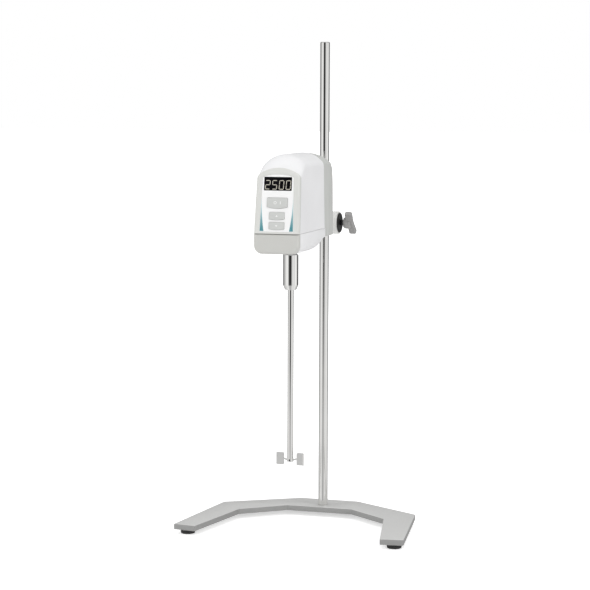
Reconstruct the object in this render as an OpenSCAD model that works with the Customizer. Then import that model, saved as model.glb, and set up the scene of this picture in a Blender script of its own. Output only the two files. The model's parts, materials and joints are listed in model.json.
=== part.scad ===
// Overhead stirrer on a U-shaped stand: the head slides and swivels on the rod, and its
// chuck turns a stirring shaft with a paddle impeller.
// Millimetres, +Z up. The origin is on the support rod's axis, at the level of the bench.
// The head faces -Y.

/* [Stand] */
// Width of the base across its toes
base_w = 388; // [370:1:430]
// Diameter of the support rod
rod_d = 16; // [14:0.5:19]
// Length of the support rod
rod_len = 794; // [700:1:1000]
// Chamfer round the top end of the rod
rod_chamfer = 1; // [0.5:0.1:2]
// Thickness of the base plate
plate_t = 9; // [7:0.5:12]
// Distance from the rod axis to the back edge of the plate
plate_back = 41; // [34:1:55]
// Half the length of the straight back edge
back_half = 51; // [44:1:60]
// Distance from the rod axis to the front edge of the cross bar
bar_front = 24; // [18:1:32]
// Half the length of the cross bar's straight front edge
bar_front_half = 57; // [48:1:66]
// Distance of the outer elbow inside the toe's outer corner
elbow_out_in = 24; // [16:1:34]
// Distance of the outer elbow in front of the rod axis
elbow_out_y = 30; // [20:1:40]
// Distance of the inner elbow inside the toe's inner corner
elbow_in_in = 29; // [22:1:36]
// Distance of the inner elbow in front of the rod axis
elbow_in_y = 78; // [68:1:90]
// Distance of the outer corner of a toe in front of the rod axis
toe_out_y = 216; // [200:1:240]
// Width of a toe along its front edge
toe_w = 38; // [32:1:46]
// Distance of the inner corner of a toe in front of the rod axis
toe_in_y = 221; // [200:1:240]
// Diameter of a rubber foot
foot_d = 25; // [20:1:30]
// Height of a rubber foot
foot_h = 8; // [7.5:0.5:12]
// Distance from the toe's front edge to the centre of its foot
foot_inset = 18.5; // [16:0.5:24]
// Distance of a rear foot from the centre line
rear_foot_x = 42; // [34:1:48]
// Distance of a rear foot behind the rod axis
rear_foot_y = 24; // [20:1:27]

/* [Head position] */
// Height of the head's underside above the bench
head_z = 472; // [400:1:560]
// Distance from the rod axis to the stirring axis
shaft_reach = 197; // [190:1:225]
// Height of the clamp's centre above the head's underside
clamp_rise = 32.5; // [30.5:0.1:34]

/* [Head housing] */
// Width of the head at the parting line
head_w = 74.4; // [72:0.2:86]
// Width of the head under its arched top
head_w_top = 70; // [68:0.2:74]
// Height of the lower housing
lower_h = 32; // [31:0.5:38]
// Height of the head, from its underside to the ridge
head_h = 155; // [150:1:175]
// Length of the leaning front panel, measured up its slope
panel_h = 104; // [100:1:112]
// Lean of the front panel from the vertical, in degrees
panel_lean = 7.3; // [4:0.1:10]
// Distance from the stirring axis to the foot of the front panel
front_reach = 80.5; // [78:0.5:92]
// Distance from the front panel's foot back to the start of the ridge
ridge_start = 53; // [46:1:60]
// Distance from the stirring axis back to the rear edge of the shells
shell_rear = 71; // [69:1:80]
// Depth of the back cover
cover_d = 60; // [54:1:66]
// Step in from the shell's side to the back cover's side
cover_step = 2; // [1:0.5:3]
// Height of the back cover's underside above the head's underside
cover_rise = 18; // [16:0.5:19]
// Radius of the arched top at the front
arch_front_r = 55; // [50:1:70]
// Radius of the arched top along the ridge
arch_r = 44; // [42:1:60]
// Radius of the lower long edges
lower_corner_r = 13; // [8:0.5:16]
// Distance behind the stirring axis at which the underside starts to rise
rise_start = 0; // [0:1:6]
// Radius of the lower front edge
front_corner_r = 6; // [3:0.5:7]
// Wall thickness of the plastic housing
wall = 2.5; // [2:0.1:3]
// Width of the seam between the upper and lower housing
seam = 0.5; // [0.3:0.1:0.8]
// Depth of the front bezel and of the lower front panel
bezel_t = 8; // [7:0.5:9]

/* [Controls] */
// Width of the label at its foot
label_w = 55; // [54:0.5:60]
// Width of the label at its top
label_w_top = 50; // [49:0.5:56]
// Height of the label
label_h = 89.5; // [88:0.5:93]
// Distance of the label's foot above the seam, up the panel
label_rise = 3.5; // [3:0.5:5]
// Thickness of the label
label_t = 0.5; // [0.3:0.1:0.6]
// Width of the display window
window_w = 45.4; // [42:0.2:46]
// Height of the display window
window_h = 21.5; // [18:0.5:22]
// Height of the display window's centre, up the panel
window_rise = 78.6; // [76:0.2:79]
// Width of the power key
power_key_w = 34; // [30:0.5:38]
// Height of the power key
power_key_h = 17; // [14:0.5:18]
// Height of the power key's centre, up the panel
power_key_rise = 48.3; // [46:0.1:50]
// Width of an arrow key
arrow_key_w = 25.6; // [22:0.2:30]
// Height of an arrow key
arrow_key_h = 12.4; // [10:0.2:13]
// Height of the up key's centre, up the panel
up_key_rise = 28.1; // [27:0.1:29]
// Height of the down key's centre, up the panel
down_key_rise = 12.6; // [11.6:0.1:13.2]
// How far a key stands out of the panel
key_proud = 0.8; // [0.5:0.1:1.5]
// How far a key goes in
key_travel = 0.8; // [0.4:0.1:0.8]
// Gap around a key
key_gap = 0.3; // [0.2:0.05:0.4]

/* [Chuck and stirring shaft] */
// Diameter of the stirring shaft
shaft_d = 10; // [8:0.5:11]
// Length of the stirring shaft
shaft_len = 326; // [250:1:330]
// Depth of the stirring shaft in the chuck
shaft_grip = 46; // [40:1:48]
// Diameter of the chuck sleeve
chuck_d = 25; // [24:0.5:30]
// Length of the chuck, from its top to the end of its nose
chuck_len = 61; // [58:1:66]
// Length of the chuck's tapered nose
nose_len = 7.5; // [5:0.5:9]
// Diameter of the end of the nose
nose_d = 18.8; // [17:0.2:21]
// Gap between the housing and the top of the chuck
chuck_gap = 2; // [1:0.5:4]
// Diameter across the impeller's blades
impeller_d = 48.6; // [40:0.2:60]
// Width of a blade
blade_w = 13.5; // [10:0.5:15]
// Height of a blade
blade_h = 20; // [16:0.5:26]
// Thickness of the impeller's sheet
blade_t = 2; // [1.5:0.1:2.5]
// Height of the arm's middle above the shaft's end
arm_rise = 3; // [2.5:0.1:5]
// Height of the strip that joins the blades
arm_h = 2.6; // [2:0.1:4]

/* [Drive] */
// Diameter of the spindle
spindle_d = 12; // [11:0.5:13]
// Diameter of a spindle bearing
bearing_d = 28; // [26:0.5:29]
// Width of a spindle bearing
bearing_w = 8; // [7:0.5:9]
// Diameter of the motor
motor_d = 54; // [48:1:56]
// Length of the motor
motor_len = 64; // [58:1:64]
// Diameter of the motor's shaft
motor_shaft_d = 8; // [6:0.5:9]
// Distance between the motor shaft and the spindle
belt_centres = 75; // [70:1:78]
// Pitch radius of the spindle pulley
spindle_pulley_r = 20; // [18:0.5:21]
// Pitch radius of the motor pulley
motor_pulley_r = 13; // [12:0.5:14]
// Width of the belt
belt_w = 10; // [8:0.5:11]
// Thickness of the belt
belt_t = 1.5; // [1:0.1:1.7]
// Thickness of the chassis plate
chassis_t = 5; // [4:0.5:6]

/* [Clamp] */
// Radius of the clamp's round boss
boss_r = 19.2; // [18:0.2:22]
// Distance from the rod axis to the boss's end face
boss_out = 26.1; // [22:0.1:30]
// Distance from the rod axis to the boss's plain end
boss_in = 19; // [17:0.5:22]
// Wall of the plastic sleeve in the clamp
sleeve_wall = 2; // [1.5:0.1:2.5]
// Diameter of the clamp screw
screw_d = 8; // [6:0.5:9]
// Diameter of the black washer
washer_d = 33.4; // [28:0.2:36]
// Thickness of the black washer
washer_t = 2; // [1.5:0.1:3]
// Distance from the washer to the knob
knob_gap = 6; // [4:0.5:8]
// Span of the knob's two wings
wing_span = 49.5; // [40:0.5:56]
// Depth of the wings, along the screw
wing_depth = 12.5; // [9:0.5:16]
// Thickness of the wings
wing_t = 8; // [6:0.5:11]
// Distance from the hub's inner face to the wings
wing_set = 5.5; // [3:0.5:8]
// Diameter of the knob's hub
knob_hub_d = 20; // [16:0.5:22]
// Length of the knob's hub
knob_hub_len = 12.5; // [10:0.5:16]
// Turn of the wings from the vertical, in degrees
knob_turn = 45; // [0:5:180]
// Bore of the cord gland
gland_bore_d = 7.2; // [6:0.2:8]

/* [Hidden] */

// smoothness of round surfaces, and of the slices that hull() joins
$fn = 96;
slice_fn = 32;
// cutters reach this far past what they cut, and hulls join slices this thin
past = 1;
slice_t = 0.1;

// clearances: turning and sliding fits, loose gaps between bodies, screws in their holes
run_gap = 0.05;
loose_gap = 0.3;
screw_gap = 0.1;

// heights, measured from the bench
z_plate = foot_h;
z_plate_top = z_plate + plate_t;
z_part = head_z + lower_h;
z_ridge = head_z + head_h;
z_clamp = head_z + clamp_rise;
z_cover = head_z + cover_rise;
z_chuck_top = head_z - chuck_gap;
z_nose = z_chuck_top - chuck_len;
z_shaft_top = z_nose + shaft_grip;
z_shaft_end = z_shaft_top - shaft_len;
chassis_drop = 4;
z_chassis = z_part - chassis_drop;
z_deck = z_chassis + chassis_t;

// places along Y: the front is negative
y_spindle = -shaft_reach;
y_front = y_spindle - front_reach;
y_shell_rear = y_spindle + shell_rear;
y_cover_rear = y_shell_rear + cover_d;
y_motor = y_spindle + belt_centres;
y_ridge = y_front + ridge_start;

// the underside rises behind the chuck in a smooth curve, drawn in this many steps
rise_steps = 12;
y_rise = y_spindle + rise_start;
function rise_at(t) = cover_rise * (1 - cos(180 * t)) / 2;
function underside(y) = head_z + rise_at(max(0, (y - y_rise) / (y_shell_rear - y_rise)));

// how far the shell's rear edge is drawn in, and over what length
rear_draw = 2.5;
rear_round = 10;
// the arch slices start this far under the parting line, where a cut trims them
slice_drop = 6;

// half the base plate's outline takes its widths from the base
toe_out_x = base_w / 2;
toe_in_x = toe_out_x - toe_w;
elbow_out_x = toe_out_x - elbow_out_in;
elbow_in_x = toe_in_x - elbow_in_in;

// feet: one under each toe, and two behind the rod
toe_y = (toe_out_y + toe_in_y) / 2;
foot_places = [
    for (side = [-1, 1])
        each [
            [side * (toe_out_x + toe_in_x) / 2, foot_inset - toe_y],
            [side * rear_foot_x, rear_foot_y]
        ]
];
foot_screw_d = 4;
foot_head_d = 7.6;
foot_head_h = 2.4;
foot_screw_bite = 6;
foot_recess = foot_h / 2;

// rod fixing: the rod stands in a blind seat, drawn down by a low bolt sunk from beneath
rod_seat = 3;
z_rod = z_plate_top - rod_seat;
rod_bolt_d = 8;
rod_bolt_head_d = 14;
rod_bolt_head_h = 2.8;
rod_bolt_sink = 3.2;
rod_bolt_bite = 22;

// clamp
sleeve_r = rod_d / 2 + run_gap + sleeve_wall;
sleeve_collar = 2.5;
sleeve_collar_t = 2;
sleeve_slit = 2;
arm_half_w = 11;
arm_half_h = 12.5;
flange_half_w = 22;
flange_t = 6;
flange_h = 38;
flange_low = z_cover + 2;
flange_high = flange_low + flange_h;
clamp_bolt_d = 5;
clamp_bolt_head_d = 8.5;
clamp_bolt_head_h = 5;
clamp_bolt_x = 16.5;
clamp_bolt_z = [flange_low + 6, flange_high - 6];
x_washer = boss_out + loose_gap;
x_collar = x_washer + washer_t + loose_gap;
x_knob = x_collar + knob_gap;
screw_collar_d = screw_d + 1.5;
knob_bite = 10;
hub_taper = 1.5;
wing_corner_r = 3;

// chassis, and the posts that hold it off the lower shell's floor
chassis_half_w = 30;
chassis_front = 42;
rear_flange_high = 30;
post_r = 4;
post_foot = 6;
post_x = 23;
post_along = [-36, 44];
post_places = [for (side = [-1, 1], y = post_along) [side * post_x, y_spindle + y]];
housing_screw_d = 3;
housing_head_d = 5.6;
housing_head_h = 2;
housing_bite = 10;
floor_boss_r = 5;

// spindle and its bearings
housing_low = 6;
housing_wall = 3;
housing_len = 88;
housing_lip = 2;
flange_r = 23;
housing_flange_t = 5;
flange_screw_r = 20;
flange_screw_d = 3;
flange_screw_head_d = 5;
flange_screw_head_h = 2;
seal_r = 11;
seal_t = 4;
z_housing = head_z + housing_low;
z_housing_top = z_housing + housing_len;
z_low_bearing = z_housing + housing_lip;
z_top_bearing = z_housing_top - bearing_w;
ring_t = 1;
ring_r = spindle_d / 2 + 3;
stub_d = spindle_d - 4;
stub_len = 8;
spindle_collar_t = 2;

// belt drive
pulley_flange = 2;
pulley_flange_t = 1.5;
belt_side_gap = 1.5;
pulley_h = belt_w + 2 * (belt_side_gap + pulley_flange_t);
z_pulley = z_housing_top + ring_t + 2 * loose_gap + 2;
z_belt = z_pulley + pulley_flange_t + belt_side_gap;
hub_h = 6;
hub_r = 10;
z_spindle_top = z_pulley + pulley_h + hub_h;

// motor
can_t = 1.5;
bell_t = 5;
can_floor = 6;
rotor_r = 17;
air_gap = 0.5;
stator_clear = 5;
motor_screw_d = 4;
motor_screw_r = 18;
motor_screw_head_d = 7;
motor_screw_head_h = 3;
z_bell = z_deck + motor_len - bell_t;

// back cover: height of its upright face, then two sloped faces (run back, rise)
cover_face_h = 61;
cover_slope = [6, 49];
cover_bevel = [16, 15];
cover_corner_r = 8;

// controls, measured into the panel from its front face
label_seat = label_t + 0.1;
board_w = 56;
board_low = 6;
board_high = 88;
board_t = 1.6;
board_depth = 14;
board_post_r = 2.8;
board_post_x = 25;
board_post_rises = [10, 62];
board_post_places = [for (side = [-1, 1], h = board_post_rises) [side * board_post_x, h]];
board_screw_d = 2.4;
board_screw_head_d = 4.4;
board_screw_head_h = 1.6;
board_screw_bite = 7;
display_w = 42;
display_h = 18;
display_front = wall + 0.5;
switch_w = 6;
switch_h = 3.5;
plunger_d = 3.4;
plunger_h = 0.3;
key_flange_side = 1.2;
key_flange_end = 0.6;
key_flange_t = 1.2;
key_corner_r = 1.6;
key_bow_r = 60;
key_stem_d = 4;
key_hollow = board_depth - switch_h - plunger_h - key_travel - 0.1;
window_corner_r = 1;
window_t = 2.2;
window_set = 0.2;

// power board, with its parts on the side that faces the front
power_board_half_w = 27;
power_board_h = 54;
power_board_gap = 38;
choke = [22, 11, 20];
choke_z = 4;
sink = [14, 9, 38];
sink_z = 8;
capacitor_r = 6;
capacitor_len = 11;
capacitor_x = [-16, -1];
capacitor_z = 36;
part_margin = 2;

// cord gland
gland_x = -18;
gland_rise = 50;
gland_z = z_cover + gland_rise;
gland_barrel_r = gland_bore_d / 2 + 2;
gland_flange_r = gland_barrel_r + 2;
gland_flange_t = 2;
gland_nose = 12;
gland_nose_swell = 1;
gland_nose_draw = 0.6;
gland_inside = 8;

// chuck
chuck_wall = 4;
chuck_core_r = chuck_d / 2 - chuck_wall;
chuck_neck = 4;
chuck_neck_step = 2;
jaw_h = 12;
jaw_slit = 1.2;
nose_lip = 3;

// impeller
tip_w = 3;
tip_bend = 40;
hub_strip_h = 5.4;
arm_lift = 2;
pin_d = 2.4;
blade_corner_r = 1.5;
blade_lift = 1.6;
pin_proud = 0.5;

// ---------- shared shapes ----------

// Upright outline with slanting sides and an arched top; it starts drop under its foot.
module arch2d(half_low, half_high, h, r, drop = 0) {
    slope = (half_low - half_high) / h;
    intersection() {
        polygon([
            [-half_low - slope * drop, -drop], [half_low + slope * drop, -drop],
            [half_high, h], [-half_high, h]
        ]);
        union() {
            translate([0, h - r]) circle(r);
            translate([-r, -drop - past]) square([2 * r, h - r + drop + past]);
        }
    }
}

module rounded2d(w, h, r) {
    square([w - 2 * r, h], center = true);
    square([w, h - 2 * r], center = true);
    for (x = [-1, 1], y = [-1, 1])
        translate([x * (w / 2 - r), y * (h / 2 - r)]) circle(r);
}

// Moves flat work onto the leaning panel: X across, Y up the slope, Z out of its face.
module on_panel() {
    translate([0, y_front, z_part]) rotate([90 - panel_lean, 0, 0]) children();
}

// A thin upright slice of the head at y, its outline drawn in by inset.
module head_slice(y, inset, drawn = 0, drop = slice_drop) {
    translate([0, y, z_part]) rotate([90, 0, 0]) linear_extrude(slice_t)
        arch2d(head_w / 2 - inset - drawn, head_w_top / 2 - inset - drawn,
            z_ridge - z_part - inset - drawn, arch_r - inset - drawn, drop, $fn = slice_fn);
}

// The head's outer form above the parting line, drawn in by inset, with its ends moved out.
module head_form(inset, past_ends) {
    hull() {
        on_panel() translate([0, 0, past_ends - bezel_t - slice_t]) linear_extrude(slice_t)
            arch2d(head_w / 2 - inset, head_w_top / 2 - inset, panel_h - inset,
                arch_front_r - inset, slice_drop, $fn = slice_fn);
        head_slice(y_ridge, inset);
        head_slice(y_shell_rear - rear_round, inset);
        head_slice(y_shell_rear + past_ends, inset, rear_draw);
    }
}

// Cuts everything under height z away.
module cut_under(z) {
    translate([-head_w, y_front - past - head_w, z - head_h])
        cube([2 * head_w, shell_rear + front_reach + cover_d + 2 * head_w, head_h]);
}

// The lower housing's outline seen from the front.
module lower_front2d(inset) {
    half = head_w / 2 - inset;
    r = lower_corner_r - inset;
    for (side = [-1, 1]) translate([side * (half - r), inset + r]) circle(r);
    translate([-half + r, inset]) square([2 * (half - r), lower_h]);
    translate([-half, inset + r]) square([2 * half, lower_h]);
}

module lower_front_prism(inset, y_from, y_to, z_top) {
    intersection() {
        translate([0, y_to, head_z]) rotate([90, 0, 0])
            linear_extrude(y_to - y_from) lower_front2d(inset);
        cut_under(z_top);
    }
}

// A straight screw: head below, shank above, along +Z from the underside of its head.
module screw(d, len, head_d, head_h, socket = true) {
    difference() {
        union() {
            translate([0, 0, -head_h]) cylinder(d = head_d, h = head_h);
            cylinder(d = d, h = len);
        }
        if (socket)
            translate([0, 0, -head_h - past])
                cylinder(d = head_d / 2, h = head_h * 0.6 + past, $fn = 6);
    }
}

// ---------- stand ----------

module base_plate() {
    half = [
        [back_half, plate_back], [elbow_out_x, -elbow_out_y], [toe_out_x, -toe_out_y],
        [toe_in_x, -toe_in_y], [elbow_in_x, -elbow_in_y], [bar_front_half, -bar_front]
    ];
    other_half = [for (i = [len(half) - 1:-1:0]) [-half[i][0], half[i][1]]];
    color("lightgray") difference() {
        translate([0, 0, z_plate]) linear_extrude(plate_t) polygon(concat(half, other_half));
        translate([0, 0, z_rod]) cylinder(d = rod_d + 2 * screw_gap, h = rod_seat + past);
        translate([0, 0, z_plate - past])
            cylinder(d = rod_bolt_d + 2 * screw_gap, h = plate_t + past);
        translate([0, 0, z_plate - past])
            cylinder(d = rod_bolt_head_d + 2 * loose_gap, h = rod_bolt_sink + past);
        for (p = foot_places) translate([p[0], p[1], z_plate - past])
            cylinder(d = foot_screw_d + 2 * screw_gap, h = foot_screw_bite + past + screw_gap);
    }
}

module rubber_feet() {
    color("black") for (p = foot_places) translate([p[0], p[1], 0]) difference() {
        cylinder(d = foot_d, h = foot_h);
        translate([0, 0, -past]) cylinder(d = foot_head_d + 2 * loose_gap, h = foot_recess + past);
        cylinder(d = foot_screw_d + 2 * screw_gap, h = foot_h + past);
    }
}

module foot_screws() {
    color("silver") for (p = foot_places) translate([p[0], p[1], foot_recess])
        screw(foot_screw_d, foot_h - foot_recess + foot_screw_bite, foot_head_d, foot_head_h);
}

module support_rod() {
    color("silver") translate([0, 0, z_rod]) difference() {
        rotate_extrude() polygon([
            [0, 0], [rod_d / 2, 0], [rod_d / 2, rod_len - rod_chamfer],
            [rod_d / 2 - rod_chamfer, rod_len], [0, rod_len]
        ]);
        translate([0, 0, -past])
            cylinder(d = rod_bolt_d + 2 * screw_gap, h = rod_bolt_bite + past + screw_gap);
    }
}

module rod_bolt() {
    color("dimgray") translate([0, 0, z_plate + rod_bolt_sink])
        screw(rod_bolt_d, z_rod - z_plate - rod_bolt_sink + rod_bolt_bite,
            rod_bolt_head_d, rod_bolt_head_h);
}

// ---------- clamp on the rod ----------

module rod_sleeve() {
    half_h = boss_r + loose_gap;
    color("ivory") translate([0, 0, z_clamp]) difference() {
        union() {
            translate([0, 0, -half_h]) cylinder(r = sleeve_r, h = 2 * half_h);
            for (z = [-half_h - sleeve_collar_t, half_h]) translate([0, 0, z])
                cylinder(r = sleeve_r + sleeve_collar, h = sleeve_collar_t);
        }
        translate([0, 0, -half_h - sleeve_collar_t - past])
            cylinder(r = rod_d / 2 + run_gap, h = 2 * (half_h + sleeve_collar_t + past));
        translate([-sleeve_slit / 2, -2 * sleeve_r, -half_h - sleeve_collar_t - past])
            cube([sleeve_slit, 2 * sleeve_r, 2 * (half_h + sleeve_collar_t + past)]);
    }
}

module clamp_block() {
    color("whitesmoke") difference() {
        union() {
            translate([-boss_in, 0, z_clamp]) rotate([0, 90, 0])
                cylinder(r = boss_r, h = boss_in + boss_out);
            translate([-arm_half_w, y_cover_rear, z_clamp - arm_half_h])
                cube([2 * arm_half_w, -y_cover_rear, 2 * arm_half_h]);
            translate([-flange_half_w, y_cover_rear, flange_low])
                cube([2 * flange_half_w, flange_t, flange_high - flange_low]);
        }
        translate([0, 0, z_clamp - boss_r - past])
            cylinder(r = sleeve_r + run_gap, h = 2 * (boss_r + past));
        translate([0, 0, z_clamp]) rotate([0, 90, 0])
            cylinder(d = screw_d + 2 * screw_gap, h = boss_out + past);
        for (x = [-1, 1], z = clamp_bolt_z)
            translate([x * clamp_bolt_x, y_cover_rear - past, z]) rotate([-90, 0, 0])
                cylinder(d = clamp_bolt_d + 2 * screw_gap, h = flange_t + 2 * past);
    }
}

module clamp_bolts() {
    color("dimgray") for (x = [-1, 1], z = clamp_bolt_z)
        translate([x * clamp_bolt_x, y_cover_rear + flange_t, z]) rotate([90, 0, 0])
            screw(clamp_bolt_d, flange_t + wall + chassis_t, clamp_bolt_head_d, clamp_bolt_head_h);
}

module screw_washer() {
    color("black") translate([x_washer, 0, z_clamp]) rotate([0, 90, 0]) difference() {
        cylinder(d = washer_d, h = washer_t);
        translate([0, 0, -past])
            cylinder(d = screw_d + 2 * screw_gap, h = washer_t + 2 * past);
    }
}

module clamp_screw() {
    x_tip = sleeve_r + loose_gap;
    color("black") translate([0, 0, z_clamp]) rotate([0, 90, 0]) {
        translate([0, 0, x_tip]) cylinder(d = screw_d, h = x_knob + knob_bite - x_tip);
        translate([0, 0, x_collar]) cylinder(d = screw_collar_d, h = knob_gap);
    }
}

module clamp_knob() {
    hub_r = knob_hub_d / 2;
    color("gray") translate([x_knob, 0, z_clamp]) rotate([knob_turn, 0, 0]) rotate([0, 90, 0])
        difference() {
            union() {
                cylinder(r1 = hub_r - hub_taper, r2 = hub_r, h = hub_taper);
                translate([0, 0, hub_taper]) cylinder(r = hub_r, h = knob_hub_len - hub_taper);
                translate([0, wing_t / 2, wing_set + wing_depth / 2]) rotate([90, 0, 0])
                    linear_extrude(wing_t) rounded2d(wing_span, wing_depth, wing_corner_r);
            }
            translate([0, 0, -past]) cylinder(d = screw_d, h = knob_bite + past);
        }
}

// ---------- head housing ----------

module upper_shell() {
    color("white") difference() {
        head_form(0, 0);
        head_form(wall, past);
        cut_under(z_part + seam / 2);
    }
}

// The lower shell's outline seen from the side, from its front face to its rear wall.
module lower_side2d(inset, y_from) {
    run = y_shell_rear - y_rise;
    rising = [
        for (i = [0:rise_steps])
            [y_rise + run * i / rise_steps - inset, head_z + inset + rise_at(i / rise_steps)]
    ];
    polygon(concat([[y_from, head_z + 2 * lower_h], [y_from, head_z + inset]], rising,
        [[y_shell_rear - inset, head_z + 2 * lower_h]]));
}

module lower_form(inset, y_from) {
    intersection() {
        translate([0, y_shell_rear, head_z]) rotate([90, 0, 0])
            linear_extrude(y_shell_rear - y_from) lower_front2d(inset);
        translate([-head_w / 2, 0, 0]) rotate([90, 0, 90])
            linear_extrude(head_w) lower_side2d(inset, y_from);
    }
}

module lower_shell() {
    y_from = y_front + bezel_t;
    z_lip = z_part - seam / 2;
    color("white") difference() {
        union() {
            difference() {
                lower_form(0, y_from);
                lower_form(wall, y_from - past);
            }
            intersection() {
                lower_form(0, y_from);
                for (p = post_places) translate([p[0], p[1], head_z])
                    cylinder(r = floor_boss_r, h = underside(p[1]) + post_foot - head_z);
            }
        }
        translate([-head_w, y_from - past, z_lip])
            cube([2 * head_w, front_reach + shell_rear + 2 * past, 2 * lower_h]);
        translate([-chassis_half_w - loose_gap, y_shell_rear - 2 * wall, z_chassis - wall])
            cube([2 * (chassis_half_w + loose_gap), 2 * wall + past, lower_h]);
        translate([0, y_spindle, head_z - past]) cylinder(r = seal_r, h = wall + 2 * past);
        for (p = post_places) translate([p[0], p[1], head_z - past]) {
            cylinder(d = housing_head_d + 2 * loose_gap,
                h = underside(p[1]) - head_z + post_foot / 2 + past);
            cylinder(d = housing_screw_d + 2 * screw_gap,
                h = underside(p[1]) - head_z + post_foot + 2 * past);
        }
    }
}

module lower_front_panel() {
    z_lip = z_part - seam / 2;
    color("gainsboro") difference() {
        intersection() {
            translate([0, y_front + bezel_t, head_z]) rotate([90, 0, 0])
                linear_extrude(bezel_t) lower_front2d(0);
            translate([-head_w / 2, 0, 0]) rotate([90, 0, 90]) linear_extrude(head_w) union() {
                translate([y_front + front_corner_r, head_z])
                    square([bezel_t - front_corner_r, lower_h - seam / 2]);
                translate([y_front, head_z + front_corner_r])
                    square([bezel_t, lower_h - seam / 2 - front_corner_r]);
                translate([y_front + front_corner_r, head_z + front_corner_r])
                    circle(front_corner_r);
            }
        }
        translate([0, y_front + bezel_t + past, head_z]) rotate([90, 0, 0])
            linear_extrude(bezel_t - wall + past) lower_front2d(wall + front_corner_r / 2);
    }
}

module key2d(w, h, grow) {
    intersection() {
        rounded2d(w + 2 * grow, h + 2 * grow, key_corner_r);
        translate([0, key_bow_r - h / 2 - grow]) circle(key_bow_r, $fn = 4 * $fn);
    }
}

module front_bezel() {
    color("gainsboro") difference() {
        on_panel() difference() {
            union() {
                difference() {
                    translate([0, 0, -bezel_t]) linear_extrude(bezel_t)
                        arch2d(head_w / 2, head_w_top / 2, panel_h, arch_front_r, slice_drop);
                    translate([0, 0, -bezel_t - past]) linear_extrude(bezel_t - wall + past)
                        arch2d(head_w / 2 - wall, head_w_top / 2 - wall, panel_h - wall,
                            arch_front_r - wall, slice_drop);
                }
                for (p = board_post_places) translate([p[0], p[1], -board_depth])
                    cylinder(r = board_post_r, h = board_depth - wall / 2);
            }
            translate([0, label_rise, -label_seat]) linear_extrude(label_seat + past)
                arch2d(label_w / 2 + screw_gap, label_w_top / 2 + screw_gap,
                    label_h + screw_gap, label_arch_r());
            translate([0, window_rise, -wall - past]) linear_extrude(wall + 2 * past)
                rounded2d(window_w, window_h, window_corner_r);
            translate([0, 0, -wall - past]) linear_extrude(wall + 2 * past) {
                translate([0, power_key_rise]) key2d(power_key_w, power_key_h, key_gap);
                for (h = [up_key_rise, down_key_rise])
                    translate([0, h]) key2d(arrow_key_w, arrow_key_h, key_gap);
            }
            for (p = board_post_places) translate([p[0], p[1], -board_depth - past])
                cylinder(d = board_screw_d + 2 * screw_gap, h = board_depth - wall - 1 + past);
        }
        cut_under(z_part + seam / 2);
    }
}

// The label's top is a shallow arc: this radius gives it a sag of about a twelfth of its width.
function label_arch_r() = 1.7 * label_w_top;

// The back cover's outline seen from the side: upright at the foot, sloped towards its top.
module cover_side2d(inset, front) {
    rear = y_cover_rear - inset;
    top = z_ridge - cover_step - inset;
    polygon([
        [y_shell_rear - front, z_cover + inset], [rear, z_cover + inset],
        [rear, z_cover + cover_face_h - inset],
        [rear - cover_slope[0], z_cover + cover_face_h + cover_slope[1] - inset],
        [rear - cover_slope[0] - cover_bevel[0],
            z_cover + cover_face_h + cover_slope[1] + cover_bevel[1] - inset],
        [rear - 2 * cover_bevel[0], top], [y_shell_rear - front, top]
    ]);
}

// The back cover seen from above, with rounded rear corners.
module cover_plan2d(inset, front) {
    half = head_w / 2 - cover_step - inset;
    r = cover_corner_r - inset;
    for (side = [-1, 1])
        translate([side * (half - r), y_cover_rear - inset - r]) circle(r);
    translate([-half + r, y_shell_rear - front])
        square([2 * (half - r), cover_d + front - inset]);
    translate([-half, y_shell_rear - front]) square([2 * half, cover_d + front - inset - r]);
}

module cover_form(inset, front) {
    side = cover_step + inset;
    intersection() {
        translate([0, y_cover_rear, z_part]) rotate([90, 0, 0])
            linear_extrude(cover_d + front)
                arch2d(head_w / 2 - side, head_w_top / 2 - side, z_ridge - z_part - side,
                    arch_r - side, z_part - z_cover + past);
        translate([-head_w / 2, 0, 0]) rotate([90, 0, 90])
            linear_extrude(head_w) cover_side2d(inset, front);
        translate([0, 0, z_cover]) linear_extrude(head_h) cover_plan2d(inset, front);
    }
}

module back_cover() {
    color("darkgray") difference() {
        cover_form(0, 0);
        cover_form(wall, past);
        for (x = [-1, 1], z = clamp_bolt_z)
            translate([x * clamp_bolt_x, y_cover_rear - wall - past, z]) rotate([-90, 0, 0])
                cylinder(d = clamp_bolt_d + 2 * screw_gap, h = wall + 2 * past);
        translate([gland_x, y_cover_rear - wall - past, gland_z]) rotate([-90, 0, 0])
            cylinder(r = gland_barrel_r, h = wall + 2 * past);
    }
}

module housing_screws() {
    color("dimgray") for (p = post_places)
        translate([p[0], p[1], underside(p[1]) + post_foot / 2])
            screw(housing_screw_d, post_foot / 2 + housing_bite, housing_head_d, housing_head_h);
}

module cord_gland() {
    color("black") translate([gland_x, y_cover_rear, gland_z]) rotate([-90, 0, 0]) difference() {
        union() {
            translate([0, 0, -wall - gland_inside])
                cylinder(r = gland_barrel_r, h = wall + gland_inside);
            translate([0, 0, -wall - gland_inside / 2])
                cylinder(r = gland_flange_r, h = gland_inside / 2);
            cylinder(r = gland_flange_r, h = gland_flange_t);
            cylinder(r1 = gland_barrel_r + gland_nose_swell,
                r2 = gland_barrel_r - gland_nose_draw, h = gland_nose);
        }
        translate([0, 0, -wall - gland_inside - past])
            cylinder(d = gland_bore_d, h = wall + gland_inside + gland_nose + 2 * past);
    }
}

// ---------- controls ----------

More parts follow.
